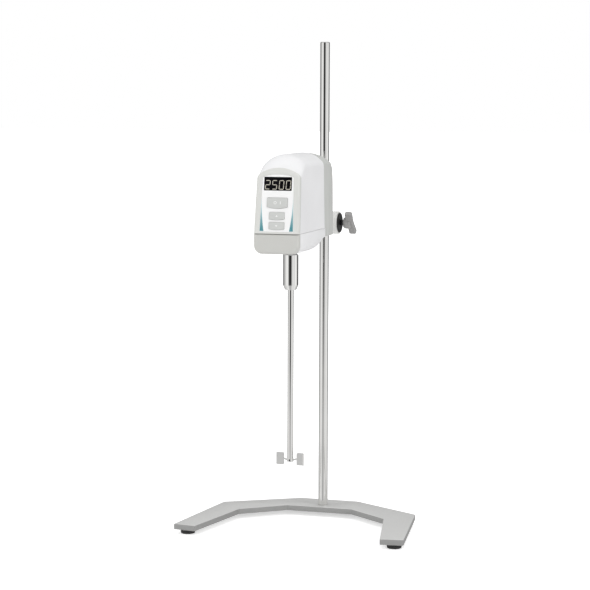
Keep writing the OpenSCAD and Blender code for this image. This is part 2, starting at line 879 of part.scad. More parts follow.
module fascia_label() {
    color("white") on_panel() translate([0, 0, -label_seat]) linear_extrude(label_t) difference() {
        translate([0, label_rise])
            arch2d(label_w / 2, label_w_top / 2, label_h, label_arch_r());
        translate([0, window_rise]) rounded2d(window_w, window_h, window_corner_r);
        translate([0, power_key_rise]) key2d(power_key_w, power_key_h, key_gap);
        for (h = [up_key_rise, down_key_rise])
            translate([0, h]) key2d(arrow_key_w, arrow_key_h, key_gap);
    }
}

module display_window() {
    color("black") on_panel() translate([0, window_rise, -window_set - window_t])
        linear_extrude(window_t) rounded2d(window_w, window_h, window_corner_r);
}

module display_module() {
    color("darkslategray") on_panel() translate([0, window_rise, -board_depth])
        translate([-display_w / 2, -display_h / 2, 0])
            cube([display_w, display_h, board_depth - display_front]);
}

module control_board() {
    color("green") on_panel() translate([0, 0, -board_depth - board_t]) difference() {
        translate([-board_w / 2, board_low, 0]) cube([board_w, board_high - board_low, board_t]);
        for (p = board_post_places) translate([p[0], p[1], -past])
            cylinder(d = board_screw_d + 2 * screw_gap, h = board_t + 2 * past);
    }
}

module key_switches() {
    color("dimgray") on_panel() for (h = [power_key_rise, up_key_rise, down_key_rise])
        translate([0, h, -board_depth]) {
            translate([-switch_w / 2, -switch_w / 2, 0]) cube([switch_w, switch_w, switch_h]);
            cylinder(d = plunger_d, h = switch_h + plunger_h);
        }
}

module board_screws() {
    color("silver") on_panel() for (p = board_post_places)
        translate([p[0], p[1], -board_depth - board_t])
            screw(board_screw_d, board_t + board_screw_bite, board_screw_head_d,
                board_screw_head_h, false);
}

// A key: cap, flange that keeps it behind the panel, and a stem that reaches its switch.
module key(w, h, rise) {
    on_panel() translate([0, rise, 0]) {
        translate([0, 0, -wall - key_gap - key_flange_t])
            linear_extrude(wall + key_gap + key_flange_t + key_proud) key2d(w, h, 0);
        translate([0, 0, -wall - key_gap - key_flange_t]) linear_extrude(key_flange_t)
            rounded2d(w + 2 * key_flange_side, h + 2 * key_flange_end, key_corner_r);
        translate([0, 0, -key_hollow]) cylinder(d = key_stem_d, h = key_hollow - wall);
    }
}

module power_key() {
    color("silver") key(power_key_w, power_key_h, power_key_rise);
}

module up_key() {
    color("silver") key(arrow_key_w, arrow_key_h, up_key_rise);
}

module down_key() {
    color("silver") key(arrow_key_w, arrow_key_h, down_key_rise);
}

// ---------- drive ----------

module chassis() {
    y_from = y_spindle - chassis_front;
    y_to = y_cover_rear - wall;
    color("lightsteelblue") difference() {
        union() {
            translate([-chassis_half_w, y_from, z_chassis])
                cube([2 * chassis_half_w, y_to - chassis_t / 2 - y_from, chassis_t]);
            translate([-flange_half_w, y_to - chassis_t, z_chassis])
                cube([2 * flange_half_w, chassis_t, rear_flange_high]);
            translate([-flange_half_w, y_to - chassis_t, z_cover + wall + loose_gap])
                cube([2 * flange_half_w, chassis_t, z_chassis - z_cover - wall]);
            for (p = post_places) translate([p[0], p[1], underside(p[1]) + post_foot])
                cylinder(r = post_r, h = z_chassis - underside(p[1]) - post_foot);
        }
        translate([0, y_spindle, z_chassis - past])
            cylinder(r = bearing_d / 2 + housing_wall + run_gap, h = chassis_t + 2 * past);
        for (a = [45:90:315]) translate([0, y_spindle, z_chassis - past]) rotate([0, 0, a])
            translate([flange_screw_r, 0, 0])
                cylinder(d = flange_screw_d + 2 * screw_gap, h = chassis_t + 2 * past);
        for (a = [45:90:315]) translate([0, y_motor, z_chassis - past]) rotate([0, 0, a])
            translate([motor_screw_r, 0, 0])
                cylinder(d = motor_screw_d + 2 * screw_gap, h = chassis_t + 2 * past);
        for (p = post_places) translate([p[0], p[1], underside(p[1]) + post_foot - past])
            cylinder(d = housing_screw_d + 2 * screw_gap, h = housing_bite + 2 * past);
        for (x = [-1, 1], z = clamp_bolt_z)
            translate([x * clamp_bolt_x, y_to - chassis_t - past, z]) rotate([-90, 0, 0])
                cylinder(d = clamp_bolt_d + 2 * screw_gap, h = chassis_t + 2 * past);
    }
}

module power_board() {
    y_board = y_spindle - power_board_gap;
    color("darkgreen") translate([0, y_board, z_deck]) {
        translate([-power_board_half_w, 0, 0])
            cube([2 * power_board_half_w, board_t, power_board_h]);
        translate([part_margin - power_board_half_w, -choke[1], choke_z]) cube(choke);
        translate([power_board_half_w - sink[0] - part_margin, -sink[1], sink_z]) cube(sink);
        for (x = capacitor_x) translate([x, 0, capacitor_z]) rotate([90, 0, 0])
            cylinder(r = capacitor_r, h = capacitor_len);
    }
}

module motor_can() {
    color("dimgray") translate([0, y_motor, z_deck]) difference() {
        cylinder(d = motor_d, h = motor_len - bell_t);
        translate([0, 0, can_floor])
            cylinder(d = motor_d - 2 * can_t, h = motor_len);
        translate([0, 0, can_floor / 2])
            cylinder(d = motor_shaft_d + 2 * run_gap, h = can_floor);
        for (a = [45:90:315]) rotate([0, 0, a]) translate([motor_screw_r, 0, -past])
            cylinder(d = motor_screw_d + 2 * screw_gap, h = can_floor - 1 + past);
    }
}

module motor_end_bell() {
    color("silver") translate([0, y_motor, z_bell]) difference() {
        cylinder(d = motor_d, h = bell_t);
        translate([0, 0, -past])
            cylinder(d = motor_shaft_d + 2 * run_gap, h = bell_t + 2 * past);
    }
}

module motor_stator() {
    color("peru") translate([0, y_motor, z_deck + can_floor]) difference() {
        cylinder(d = motor_d - 2 * can_t, h = z_bell - z_deck - can_floor - stator_clear);
        translate([0, 0, -past]) cylinder(r = rotor_r + air_gap, h = motor_len);
    }
}

module motor_screws() {
    color("silver") for (a = [45:90:315]) translate([0, y_motor, z_chassis]) rotate([0, 0, a])
        translate([motor_screw_r, 0, 0])
            screw(motor_screw_d, chassis_t + can_floor - 2, motor_screw_head_d, motor_screw_head_h);
}

module motor_rotor() {
    z_low = z_deck + can_floor / 2 + run_gap;
    z_core = z_deck + can_floor + air_gap;
    color("slategray") translate([0, y_motor, 0]) {
        translate([0, 0, z_low])
            cylinder(d = motor_shaft_d, h = z_pulley + pulley_h - z_low);
        translate([0, 0, z_core])
            cylinder(r = rotor_r, h = z_bell - stator_clear - z_core);
    }
}

// A toothed pulley's body: two flanges and the belt's seat between them.
module pulley(r, bore_d) {
    difference() {
        union() {
            cylinder(r = r, h = pulley_h);
            for (z = [0, pulley_h - pulley_flange_t]) translate([0, 0, z])
                cylinder(r = r + pulley_flange, h = pulley_flange_t);
        }
        translate([0, 0, -past]) cylinder(d = bore_d, h = pulley_h + 2 * past);
    }
}

module motor_pulley() {
    color("silver") translate([0, y_motor, z_pulley]) pulley(motor_pulley_r, motor_shaft_d);
}

module belt_loop2d(grow) {
    hull() {
        circle(spindle_pulley_r + grow);
        translate([0, belt_centres]) circle(motor_pulley_r + grow);
    }
}

module drive_belt() {
    color("black") translate([0, y_spindle, z_belt]) linear_extrude(belt_w) difference() {
        belt_loop2d(loose_gap + belt_t);
        belt_loop2d(loose_gap);
    }
}

module bearing_housing() {
    seat_r = bearing_d / 2;
    color("lightsteelblue") translate([0, y_spindle, 0]) difference() {
        union() {
            translate([0, 0, z_housing]) cylinder(r = seat_r + housing_wall, h = housing_len);
            translate([0, 0, z_chassis - housing_flange_t])
                cylinder(r = flange_r, h = housing_flange_t);
        }
        translate([0, 0, z_housing - past])
            cylinder(r = seat_r - housing_lip, h = housing_len + 2 * past);
        translate([0, 0, z_low_bearing]) cylinder(r = seat_r, h = bearing_w);
        translate([0, 0, z_top_bearing]) cylinder(r = seat_r, h = bearing_w + past);
        for (a = [45:90:315]) rotate([0, 0, a])
            translate([flange_screw_r, 0, z_chassis - housing_flange_t - past])
                cylinder(d = flange_screw_d + 2 * screw_gap, h = housing_flange_t + 2 * past);
    }
}

module housing_flange_screws() {
    color("silver") for (a = [45:90:315]) translate([0, y_spindle, 0]) rotate([0, 0, a])
        translate([flange_screw_r, 0, z_chassis - housing_flange_t])
            screw(flange_screw_d, housing_flange_t + chassis_t - 1,
                flange_screw_head_d, flange_screw_head_h);
}

module spindle_bearings() {
    color("gainsboro") for (z = [z_low_bearing, z_top_bearing]) translate([0, y_spindle, z])
        difference() {
            cylinder(d = bearing_d, h = bearing_w);
            translate([0, 0, -past])
                cylinder(d = spindle_d + 2 * run_gap, h = bearing_w + 2 * past);
        }
}

module shaft_seal() {
    color("black") translate([0, y_spindle, head_z]) difference() {
        cylinder(r = seal_r, h = seal_t);
        translate([0, 0, -past])
            cylinder(d = spindle_d + 2 * loose_gap, h = seal_t + 2 * past);
    }
}

module spindle() {
    color("silver") translate([0, y_spindle, 0]) {
        translate([0, 0, z_chuck_top]) cylinder(d = spindle_d, h = z_spindle_top - z_chuck_top);
        translate([0, 0, z_chuck_top - stub_len]) cylinder(d = stub_d, h = stub_len + past);
        translate([0, 0, z_low_bearing - loose_gap - spindle_collar_t])
            cylinder(r = ring_r - 1, h = spindle_collar_t);
    }
}

module spindle_pulley() {
    color("silver") translate([0, y_spindle, z_pulley]) {
        pulley(spindle_pulley_r, spindle_d);
        difference() {
            translate([0, 0, pulley_h]) cylinder(r = hub_r, h = hub_h);
            cylinder(d = spindle_d, h = pulley_h + hub_h + past);
        }
    }
}

module spindle_ring() {
    color("dimgray") translate([0, y_spindle, z_housing_top + loose_gap]) difference() {
        cylinder(r = ring_r, h = ring_t);
        translate([0, 0, -past]) cylinder(d = spindle_d, h = ring_t + 2 * past);
    }
}

// ---------- chuck, shaft and impeller ----------

module chuck_body() {
    z_core = z_nose + nose_lip + jaw_h + loose_gap;
    color("silver") translate([0, y_spindle, 0]) difference() {
        union() {
            translate([0, 0, z_chuck_top - chuck_neck])
                cylinder(r = chuck_core_r + chuck_neck_step, h = chuck_neck);
            translate([0, 0, z_core]) cylinder(r = chuck_core_r, h = z_chuck_top - z_core);
        }
        translate([0, 0, z_core - past])
            cylinder(d = shaft_d + 2 * run_gap, h = z_shaft_top + loose_gap - z_core + past);
        translate([0, 0, z_chuck_top - stub_len]) cylinder(d = stub_d, h = stub_len + past);
    }
}

module chuck_jaws() {
    color("dimgray") translate([0, y_spindle, z_nose + nose_lip]) difference() {
        cylinder(r = chuck_core_r, h = jaw_h);
        translate([0, 0, -past]) cylinder(d = shaft_d + 2 * run_gap, h = jaw_h + 2 * past);
        for (a = [0, 120, 240]) rotate([0, 0, a]) translate([0, -jaw_slit / 2, -past])
            cube([chuck_d, jaw_slit, jaw_h + 2 * past]);
    }
}

module chuck_sleeve() {
    z_top = z_chuck_top - chuck_neck - loose_gap;
    color("silver") translate([0, y_spindle, 0]) difference() {
        union() {
            translate([0, 0, z_nose + nose_len])
                cylinder(d = chuck_d, h = z_top - z_nose - nose_len);
            translate([0, 0, z_nose]) cylinder(d1 = nose_d, d2 = chuck_d, h = nose_len);
        }
        translate([0, 0, z_nose + nose_lip - loose_gap])
            cylinder(r = chuck_core_r + run_gap, h = chuck_len);
        translate([0, 0, z_nose - past])
            cylinder(d = shaft_d + 2 * loose_gap, h = nose_lip + 2 * past);
    }
}

module stirring_shaft() {
    color("silver") translate([0, y_spindle, z_shaft_end]) difference() {
        cylinder(d = shaft_d, h = shaft_len);
        translate([-shaft_d, -blade_t / 2 - run_gap, -past])
            cube([2 * shaft_d, blade_t + 2 * run_gap, past + arm_rise + hub_strip_h / 2 + run_gap]);
        translate([0, shaft_d, arm_rise]) rotate([90, 0, 0])
            cylinder(d = pin_d, h = 2 * shaft_d);
    }
}

// The paddle seen from the front: a strip that dips in the middle, with a blade at each end.
module impeller() {
    blade_x = impeller_d / 2 - blade_w;
    flat_w = blade_w - tip_w * cos(tip_bend);
    hub_x = shaft_d / 2 - 1;
    z_blade = arm_rise + blade_lift;
    color("silver") translate([0, y_spindle, z_shaft_end]) difference() {
        for (turn = [0, 180]) rotate([0, 0, turn]) {
            translate([0, blade_t / 2, arm_rise]) rotate([90, 0, 0]) linear_extrude(blade_t)
                polygon([
                    [-past, -hub_strip_h / 2], [hub_x, -hub_strip_h / 2], [shaft_d / 2, -arm_h / 2],
                    [blade_x + past, arm_lift - arm_h / 2], [blade_x + past, arm_lift + arm_h / 2],
                    [shaft_d / 2, arm_h / 2], [hub_x, hub_strip_h / 2], [-past, hub_strip_h / 2]
                ]);
            translate([blade_x + flat_w / 2, blade_t / 2, z_blade]) rotate([90, 0, 0])
                linear_extrude(blade_t) rounded2d(flat_w, blade_h, blade_corner_r);
            translate([blade_x + flat_w - blade_t / 4, blade_t / 2, z_blade])
                rotate([0, 0, -tip_bend]) translate([0, -blade_t, -blade_h / 2])
                    cube([tip_w, blade_t, blade_h]);
        }
        translate([0, shaft_d, arm_rise]) rotate([90, 0, 0])
            cylinder(d = pin_d, h = 2 * shaft_d);
    }
}

module impeller_pin() {
    color("dimgray")
        translate([0, y_spindle + shaft_d / 2 + pin_proud, z_shaft_end + arm_rise])
            rotate([90, 0, 0]) cylinder(d = pin_d, h = shaft_d + 2 * pin_proud);
}

base_plate();
rubber_feet();
foot_screws();
support_rod();
rod_bolt();
rod_sleeve();
clamp_block();
clamp_bolts();
screw_washer();
clamp_screw();
clamp_knob();
upper_shell();
lower_shell();
front_bezel();
lower_front_panel();
back_cover();
housing_screws();
cord_gland();
fascia_label();
display_window();
display_module();
control_board();
key_switches();
board_screws();
power_key();
up_key();
down_key();
chassis();
power_board();
motor_can();
motor_end_bell();
motor_stator();
motor_screws();
motor_rotor();
motor_pulley();
drive_belt();
bearing_housing();
housing_flange_screws();
spindle_bearings();
shaft_seal();
spindle();
spindle_pulley();
spindle_ring();
chuck_body();
chuck_jaws();
chuck_sleeve();
stirring_shaft();
impeller();
impeller_pin();
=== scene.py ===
"""Overhead stirrer: finishes, detailed pieces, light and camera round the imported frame."""
import json
import math

import bmesh
import bpy
from mathutils import Matrix, Vector


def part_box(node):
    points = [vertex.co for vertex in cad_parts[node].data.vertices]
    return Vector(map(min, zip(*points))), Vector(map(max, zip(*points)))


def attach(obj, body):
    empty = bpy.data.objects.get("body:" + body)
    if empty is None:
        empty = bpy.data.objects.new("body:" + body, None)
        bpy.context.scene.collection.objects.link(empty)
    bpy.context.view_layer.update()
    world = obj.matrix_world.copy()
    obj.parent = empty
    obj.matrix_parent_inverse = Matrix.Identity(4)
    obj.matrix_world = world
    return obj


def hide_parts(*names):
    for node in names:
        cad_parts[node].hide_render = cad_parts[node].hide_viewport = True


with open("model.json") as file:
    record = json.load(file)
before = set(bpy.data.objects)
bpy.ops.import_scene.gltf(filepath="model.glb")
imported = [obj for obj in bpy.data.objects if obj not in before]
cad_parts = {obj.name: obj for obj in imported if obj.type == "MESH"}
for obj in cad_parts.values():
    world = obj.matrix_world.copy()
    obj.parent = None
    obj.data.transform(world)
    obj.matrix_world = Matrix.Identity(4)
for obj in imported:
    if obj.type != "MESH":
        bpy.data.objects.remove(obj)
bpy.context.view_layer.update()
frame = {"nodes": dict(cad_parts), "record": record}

# ---- sizes, in millimetres
MM = 0.001
SEGMENTS = 96
CORNER_STEPS = 6
CLOSE = 0.002


def mm_box(node):
    """The lowest and highest corner of a CAD node, in millimetres."""
    low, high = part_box(node)
    return low / MM, high / MM


ROD_LOW, ROD_HIGH = mm_box("support_rod")
ROD_R = ROD_HIGH.x
FOOT_R, FOOT_H = 12.5, mm_box("rubber_feet")[1].z
FOOT_SINK_R, FOOT_SINK_H = 4, 4.2
PANEL_LOW, PANEL_HIGH = mm_box("lower_front_panel")
SHELL_LOW, SHELL_HIGH = mm_box("upper_shell")
KNOB_LOW, KNOB_HIGH = mm_box("clamp_knob")
WASHER_LOW, WASHER_HIGH = mm_box("screw_washer")
CHUCK_LOW, CHUCK_HIGH = mm_box("chuck_sleeve")

BODY_OF = {
    node: body for body, nodes in frame["record"]["behaviour"]["bodies"].items() for node in nodes
}

Z_PART = (SHELL_LOW.z + mm_box("lower_shell")[1].z) / 2
Y_FRONT = PANEL_LOW.y
LEAN = math.radians(7.3)
HALF_W = PANEL_HIGH.x
HALF_W_TOP = HALF_W - 2.2
PANEL_H = 104
BEZEL_T = PANEL_HIGH.y - PANEL_LOW.y
BEZEL_ROUND, PANEL_ROUND, PANEL_CORNER_R = 3.0, 4.0, 13
WALL = 2.5
ARCH_FRONT_R, ARCH_R = 55, 44
SHOULDER_R, SHOULDER_REAR_R = 9, 13
DROP = 6
Y_SPINDLE = (CHUCK_LOW.y + CHUCK_HIGH.y) / 2
Y_RIDGE = Y_FRONT + 53
Y_REAR = SHELL_HIGH.y
REAR_ROUND = 5
Z_CLAMP = (WASHER_LOW.z + WASHER_HIGH.z) / 2

# heights of the layers on the front panel, from the bezel's face
CUT = (-5, 1)
RECESS_LOW, LABEL_TOP = -0.6, -0.1
WINDOW_LOW, WINDOW_TOP = -2.4, -0.2
INK = (-0.12, -0.06)
LIT = (-0.22, -0.16)
LABEL_W, LABEL_W_TOP, LABEL_H, LABEL_RISE = 55, 50, 89.5, 3.5
WINDOW_W, WINDOW_H, WINDOW_RISE = 45.4, 21.5, 78.6
WEDGE_W, WEDGE_H, WEDGE_STEPS = 6.2, 52, 12
DIGIT_PLACES = (-16.6, -5.4, 5.8, 17.0)

KEY_GAP = 0.3
KEY_FOOT, KEY_FACE = -4, 0.8
PAD_RIM, PAD_TOP = 2.2, 0.95
STEM_R, STEM_LOW = 2, -9.3
MARK = (0.9, 0.99)
# node: width, height, rise on the panel
KEYS = {
    "power_key": (34, 17, 48.3), "up_key": (25.6, 12.4, 28.1), "down_key": (25.6, 12.4, 12.6)
}

KNOB_TURN = math.radians(135)
KNOB_SPAN, WING_T, WING_LOW, HUB_R, HUB_H = 49.5, 8.0, 5.5, 10.0, 12.5
CHUCK_NOSE_R, CHUCK_NOSE_H, CHUCK_MOUTH_R, CHUCK_BORE_R = 9.4, 7.5, 5.3, 8.55
SCREW_R, SCREW_PITCH, COLLAR_R, COLLAR_H = 4.0, 1.25, 4.75, 6
RACE_W, BALL_R, BALL_RING_R, BALLS = 8, 1.9, 11.0, 9
RACE_BORE_R, RACE_STEP_R = 8.1, 9.9
STATOR_BORE_R, LAYER_H, LAYER_DEEP = 17.7, 1.6, 0.4
COIL_H, COIL_RING_R, COILS = 8, 21.4, 12
BELT_BIG_R, BELT_SMALL_R, BELT_T, BELT_STEPS, BELT_TEETH = 20.3, 13.3, 1.5, 24, 90
BOARD_T, CHIPS, CHIP_STEP = 1.6, 9, 5.6

# ---- outlines


def rounded(corners, closed=True, steps=CORNER_STEPS):
    """A polyline of (x, y) points from corners (x, y, radius), each rounded by an arc."""
    points = []
    count = len(corners)
    for i, corner in enumerate(corners):
        here = Vector(corner[:2])
        radius = corner[2] if len(corner) > 2 else 0
        if radius <= 0 or (not closed and i in (0, count - 1)):
            points.append(tuple(here))
            continue
        before = (Vector(corners[i - 1][:2]) - here).normalized()
        after = (Vector(corners[(i + 1) % count][:2]) - here).normalized()
        half = before.angle(after) / 2
        reach = radius / math.tan(half)
        centre = here + (before + after).normalized() * (radius / math.sin(half))
        start = here + before * reach - centre
        end = here + after * reach - centre
        sweep = start.angle_signed(end)
        for k in range(steps + 1):
            points.append(tuple(centre + Matrix.Rotation(-sweep * k / steps, 2) @ start))
    return points


def inset(outline, distance):
    """A closed counter-clockwise outline moved inwards by a distance."""
    moved_points = []
    count = len(outline)
    for i in range(count):
        here = Vector(outline[i])
        along = (here - Vector(outline[i - 1])).normalized()
        onward = (Vector(outline[(i + 1) % count]) - here).normalized()
        bisector = Vector((-along.y, along.x)) + Vector((-onward.y, onward.x))
        bisector /= max(0.3, bisector.length_squared / 2)
        moved_points.append(tuple(here + bisector * distance))
    return moved_points


def arch_outline(half_low, half_high, height, arch_r, shoulder_r, drop=0, grow=0, steps=8):
    """An outline with slanting sides and an arched top, which starts a drop below its foot."""
    half_low, half_high = half_low + grow, half_high + grow
    height, arch_r, shoulder_r = height + grow, arch_r + grow, shoulder_r + grow
    foot = Vector((half_low, 0))
    side = (Vector((half_high, height)) - foot).normalized()
    inward = Vector((-side.y, side.x))
    centre = Vector((0, height - arch_r))
    start = foot + inward * shoulder_r - centre
    b = start.dot(side)
    c = start.length_squared - (arch_r - shoulder_r) ** 2
    shoulder = foot + inward * shoulder_r + side * (-b + math.sqrt(b * b - c))
    from_angle = math.atan2(-inward.y, -inward.x)
    to_angle = math.atan2(shoulder.y - centre.y, shoulder.x - centre.x)
    half = [(half_low - side.x / side.y * drop, -drop)]
    for k in range(steps + 1):
        a = from_angle + (to_angle - from_angle) * k / steps
        half.append((shoulder.x + shoulder_r * math.cos(a), shoulder.y + shoulder_r * math.sin(a)))
    for k in range(1, 2 * steps + 1):
        a = to_angle + (math.pi / 2 - to_angle) * k / (2 * steps)
        half.append((arch_r * math.cos(a), centre.y + arch_r * math.sin(a)))
    return half + [(-x, y) for x, y in reversed(half[:-1])]


BEZEL_OUTLINE = arch_outline(HALF_W, HALF_W_TOP, PANEL_H, ARCH_FRONT_R, SHOULDER_R, DROP)


def box_outline(width, height, radius, centre=(0, 0), steps=CORNER_STEPS):
    """A rounded rectangle, counter-clockwise."""
    x, y = width / 2, height / 2
    corners = [(x, -y, radius), (x, y, radius), (-x, y, radius), (-x, -y, radius)]
    return [(px + centre[0], py + centre[1]) for px, py in rounded(corners, steps=steps)]


def ring_outline(radii):
    """Points at these distances round the origin."""
    turns = [2 * math.pi * k / len(radii) for k in range(len(radii))]
    return [(r * math.cos(a), r * math.sin(a)) for r, a in zip(radii, turns)]


# ---- places

FLAT = Matrix.Identity(4)
UP_TO_FRONT = Matrix.Rotation(math.pi / 2, 4, "X")
PANEL = Matrix((
    (1, 0, 0, 0),
    (0, math.sin(LEAN), -math.cos(LEAN), Y_FRONT),
    (0, math.cos(LEAN), math.sin(LEAN), Z_PART),
    (0, 0, 0, 1),
))


def at(x, y, z=0.0):
    """Local axes as they are, from another point."""
    return Matrix.Translation((x, y, z))


def along_clamp(x, turn=0.0):
    """Local Z along the clamp screw's axis, turned about it."""
    place = Matrix(((0, 0, 1, x), (1, 0, 0, 0), (0, 1, 0, Z_CLAMP), (0, 0, 0, 1)))
    return place @ Matrix.Rotation(turn, 4, "Z")


# ---- meshes


def placed(name, data):
    """A new object in the scene that holds a mesh, a light or a camera."""
    thing = bpy.data.objects.new(name, data)
    bpy.context.scene.collection.objects.link(thing)
    return thing


def opened(mesh):
    """A mesh's points and faces for editing, with points in the same place joined."""
    made = bmesh.new()
    made.from_mesh(mesh)
    bmesh.ops.remove_doubles(made, verts=made.verts, dist=CLOSE * MM)
    return made


def written(made, mesh):
    """The edited points and faces, put into a mesh."""
    made.to_mesh(mesh)
    made.free()
    return mesh


def mesh_object(name, part, place=FLAT):
    """An object at the origin that holds a solid's points and faces, given in millimetres."""
    points, faces = part
    mesh = bpy.data.meshes.new(name)
    mesh.from_pydata([(place @ Vector(p)) * MM for p in points], [], faces)
    made = opened(mesh)
    bmesh.ops.recalc_face_normals(made, faces=made.faces)
    return placed(name, written(made, mesh))


def loft(rings, closed_ring=True, caps=False):
    """Points and faces of a surface through rings of equally many points."""
    points = [tuple(p) for ring in rings for p in ring]
    size = len(rings[0])
    faces = []
    last = size if closed_ring else size - 1
    for i in range(len(rings) - 1):
        for k in range(last):
            a, b = i * size + k, i * size + (k + 1) % size
            faces.append((a, b, b + size, a + size))
    if caps:
        faces.append(tuple(reversed(range(size))))
        faces.append(tuple(range((len(rings) - 1) * size, len(rings) * size)))
    return points, faces


def slab(outline, low, high, low_round=0, high_round=0, steps=4):
    """A plate between two heights on local Z, with rounded rims."""
    rings = []
    for end, radius, way in ((low, low_round, 1), (high, high_round, -1)):
        for k in range(steps + 1 if radius else 1):
            a = math.pi / 2 * (k if way > 0 else steps - k) / steps
            height = end + way * radius * (1 - math.cos(a))
            rings.append([(x, y, height) for x, y in inset(outline, radius * (1 - math.sin(a)))])
    return loft(rings, caps=True)


def lathe(profile, segments=SEGMENTS):
    """A turned solid from (radius, height) points, which meet the axis or close on themselves."""
    return loft([
        [(x, y, height) for x, y in ring_outline((radius,) * segments)] for radius, height in profile
    ])


def turned(corners, steps, segments=SEGMENTS):
    """A turned solid from its section's corners, which start on the axis or go round a hole."""
    profile = rounded(corners, closed=False, steps=steps)
    return lathe(profile + profile[:1] if profile[0][0] else profile, segments)


def join_parts(*parts):
    """Points and faces of several solids in one."""
    points, faces = [], []
    for part_points, part_faces in parts:
        start = len(points)
        points += part_points
        faces += [tuple(i + start for i in face) for face in part_faces]
    return points, faces


def moved(part, place):
    """A solid's points and faces, taken to another place."""
    points, faces = part
    return [tuple(place @ Vector(p)) for p in points], faces


def settle(thing):
    """Applies every modifier of an object to its mesh."""
    depsgraph = bpy.context.evaluated_depsgraph_get()
    final = bpy.data.meshes.new_from_object(thing.evaluated_get(depsgraph))
    thing.modifiers.clear()
    thing.data = final
    return thing


def carve(thing, *tools, operation="DIFFERENCE"):
    """Cuts closed solids out of an object, or joins them to it."""
    for tool in tools:
        cut = thing.modifiers.new("cut", "BOOLEAN")
        cut.operation, cut.solver, cut.object = operation, "EXACT", tool
    settle(thing)
    for tool in tools:
        bpy.data.objects.remove(tool)


def soften(thing, width, segments=3, angle=30):
    """Rounds the sharp edges of an object."""
    bevel = thing.modifiers.new("edges", "BEVEL")
    bevel.width, bevel.segments = width * MM, segments
    bevel.limit_method, bevel.angle_limit = "ANGLE", math.radians(angle)
    return settle(thing)


def cad_copy(name, node):
    """A merged copy of a CAD node's mesh, with its flat faces whole."""
    mesh = frame["nodes"][node].data.copy()
    mesh.name = name
    mesh.materials.clear()
    made = opened(mesh)
    bmesh.ops.dissolve_limit(made, angle_limit=math.radians(1), verts=made.verts, edges=made.edges)
    written(made, mesh)
    if "custom_normal" in mesh.attributes:
        mesh.attributes.remove(mesh.attributes["custom_normal"])
    return placed(name, mesh)


def only_material(thing, material):
    thing.data.materials.clear()
    thing.data.materials.append(material)


def finish_piece(thing, material, node, smooth=35, added=False):
    """Gives a piece its finish and its body. It stands in for its CAD node, or is added to it."""
    only_material(thing, material)
    thing.data.polygons.foreach_set("use_smooth", [True] * len(thing.data.polygons))
    thing.data.set_sharp_from_angle(angle=math.radians(smooth))
    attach(thing, BODY_OF[node])
    if not added:
        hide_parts(node)


def solid_piece(name, part, material, node, place=FLAT, smooth=35, added=False):
    """A finished piece made from a solid's points and faces."""
    finish_piece(mesh_object(name, part, place), material, node, smooth, added)


def rounded_piece(name, node, material, width, segments=2, angle=45, smooth=35):
    """A CAD node's own shape with rounded edges, as a finished piece."""
    piece = soften(cad_copy(name, node), width, segments, angle)
    finish_piece(piece, material, node, smooth)


# ---- nodes


class Tree:
    """A node tree, with a short way to add and join nodes."""

    def __init__(self, tree):
        self.tree = tree

    def feed(self, target, value):
        """Gives an input its value, or links a socket to it."""
        if isinstance(value, bpy.types.NodeSocket):
            self.tree.links.new(value, target)
        else:
            target.default_value = value

    def add(self, kind, inputs=None, **settings):
        """A node with these settings, whose inputs are given as values or as sockets to link."""
        node = self.tree.nodes.new(kind)
        for key, value in settings.items():
            setattr(node, key, value)
        for key, value in (inputs or {}).items():
            self.feed(node.inputs[key], value)
        return node


# ---- repeated pieces


def copies_tree(name, inputs, make_points):
    """A geometry tree that sets a piece on points and makes the copies real."""
    group = bpy.data.node_groups.new(name, "GeometryNodeTree")
    for label, kind in (("Piece", "Geometry"), *inputs, ("Material", "Material")):
        group.interface.new_socket(label, in_out="INPUT", socket_type="NodeSocket" + kind)
    group.interface.new_socket("Pieces", in_out="OUTPUT", socket_type="NodeSocketGeometry")
    t = Tree(group)
    given = t.add("NodeGroupInput").outputs
    copies = t.add("GeometryNodeInstanceOnPoints", {"Instance": given["Piece"], **make_points(t, given)})
    real = t.add("GeometryNodeRealizeInstances", {"Geometry": copies.outputs["Instances"]})
    finish = t.add("GeometryNodeSetMaterial", {
        "Geometry": real.outputs["Geometry"], "Material": given["Material"]
    })
    t.add("NodeGroupOutput", {"Pieces": finish.outputs["Geometry"]})
    return group


def turned_along(t, direction):
    """A turn about Z that takes a piece's X along a direction."""
    return t.add(
        "FunctionNodeAlignRotationToVector", {"Vector": direction}, axis="X", pivot_axis="Z"
    ).outputs["Rotation"]


def ring_points(t, given):
    """Points round the Z axis, each with its X pointing outwards."""
    circle = t.add("GeometryNodeMeshCircle", {"Vertices": given["Count"], "Radius": given["Radius"]})
    outwards = t.add("GeometryNodeInputPosition").outputs["Position"]
    return {"Points": circle.outputs["Mesh"], "Rotation": turned_along(t, outwards)}


def row_points(t, given):
    """Points in a straight row."""
    line = t.add("GeometryNodeMeshLine", {"Count": given["Count"], "Offset": given["Step"]})
    return {"Points": line.outputs["Mesh"]}


def mesh_points(t, given):
    """The points of another mesh."""
    source = t.add("GeometryNodeObjectInfo", {"Object": given["Places"]})
    return {"Points": source.outputs["Geometry"]}


def path_points(t, given):
    """Points along a closed path, each with its X along it."""
    source = t.add("GeometryNodeObjectInfo", {"Object": given["Path"]})
    curve = t.add("GeometryNodeMeshToCurve", {"Mesh": source.outputs["Geometry"]})
    along = t.add("GeometryNodeCurveToPoints", {
        "Curve": curve.outputs["Curve"], "Count": given["Count"]
    }).outputs
    return {"Points": along["Points"], "Rotation": turned_along(t, along["Tangent"])}


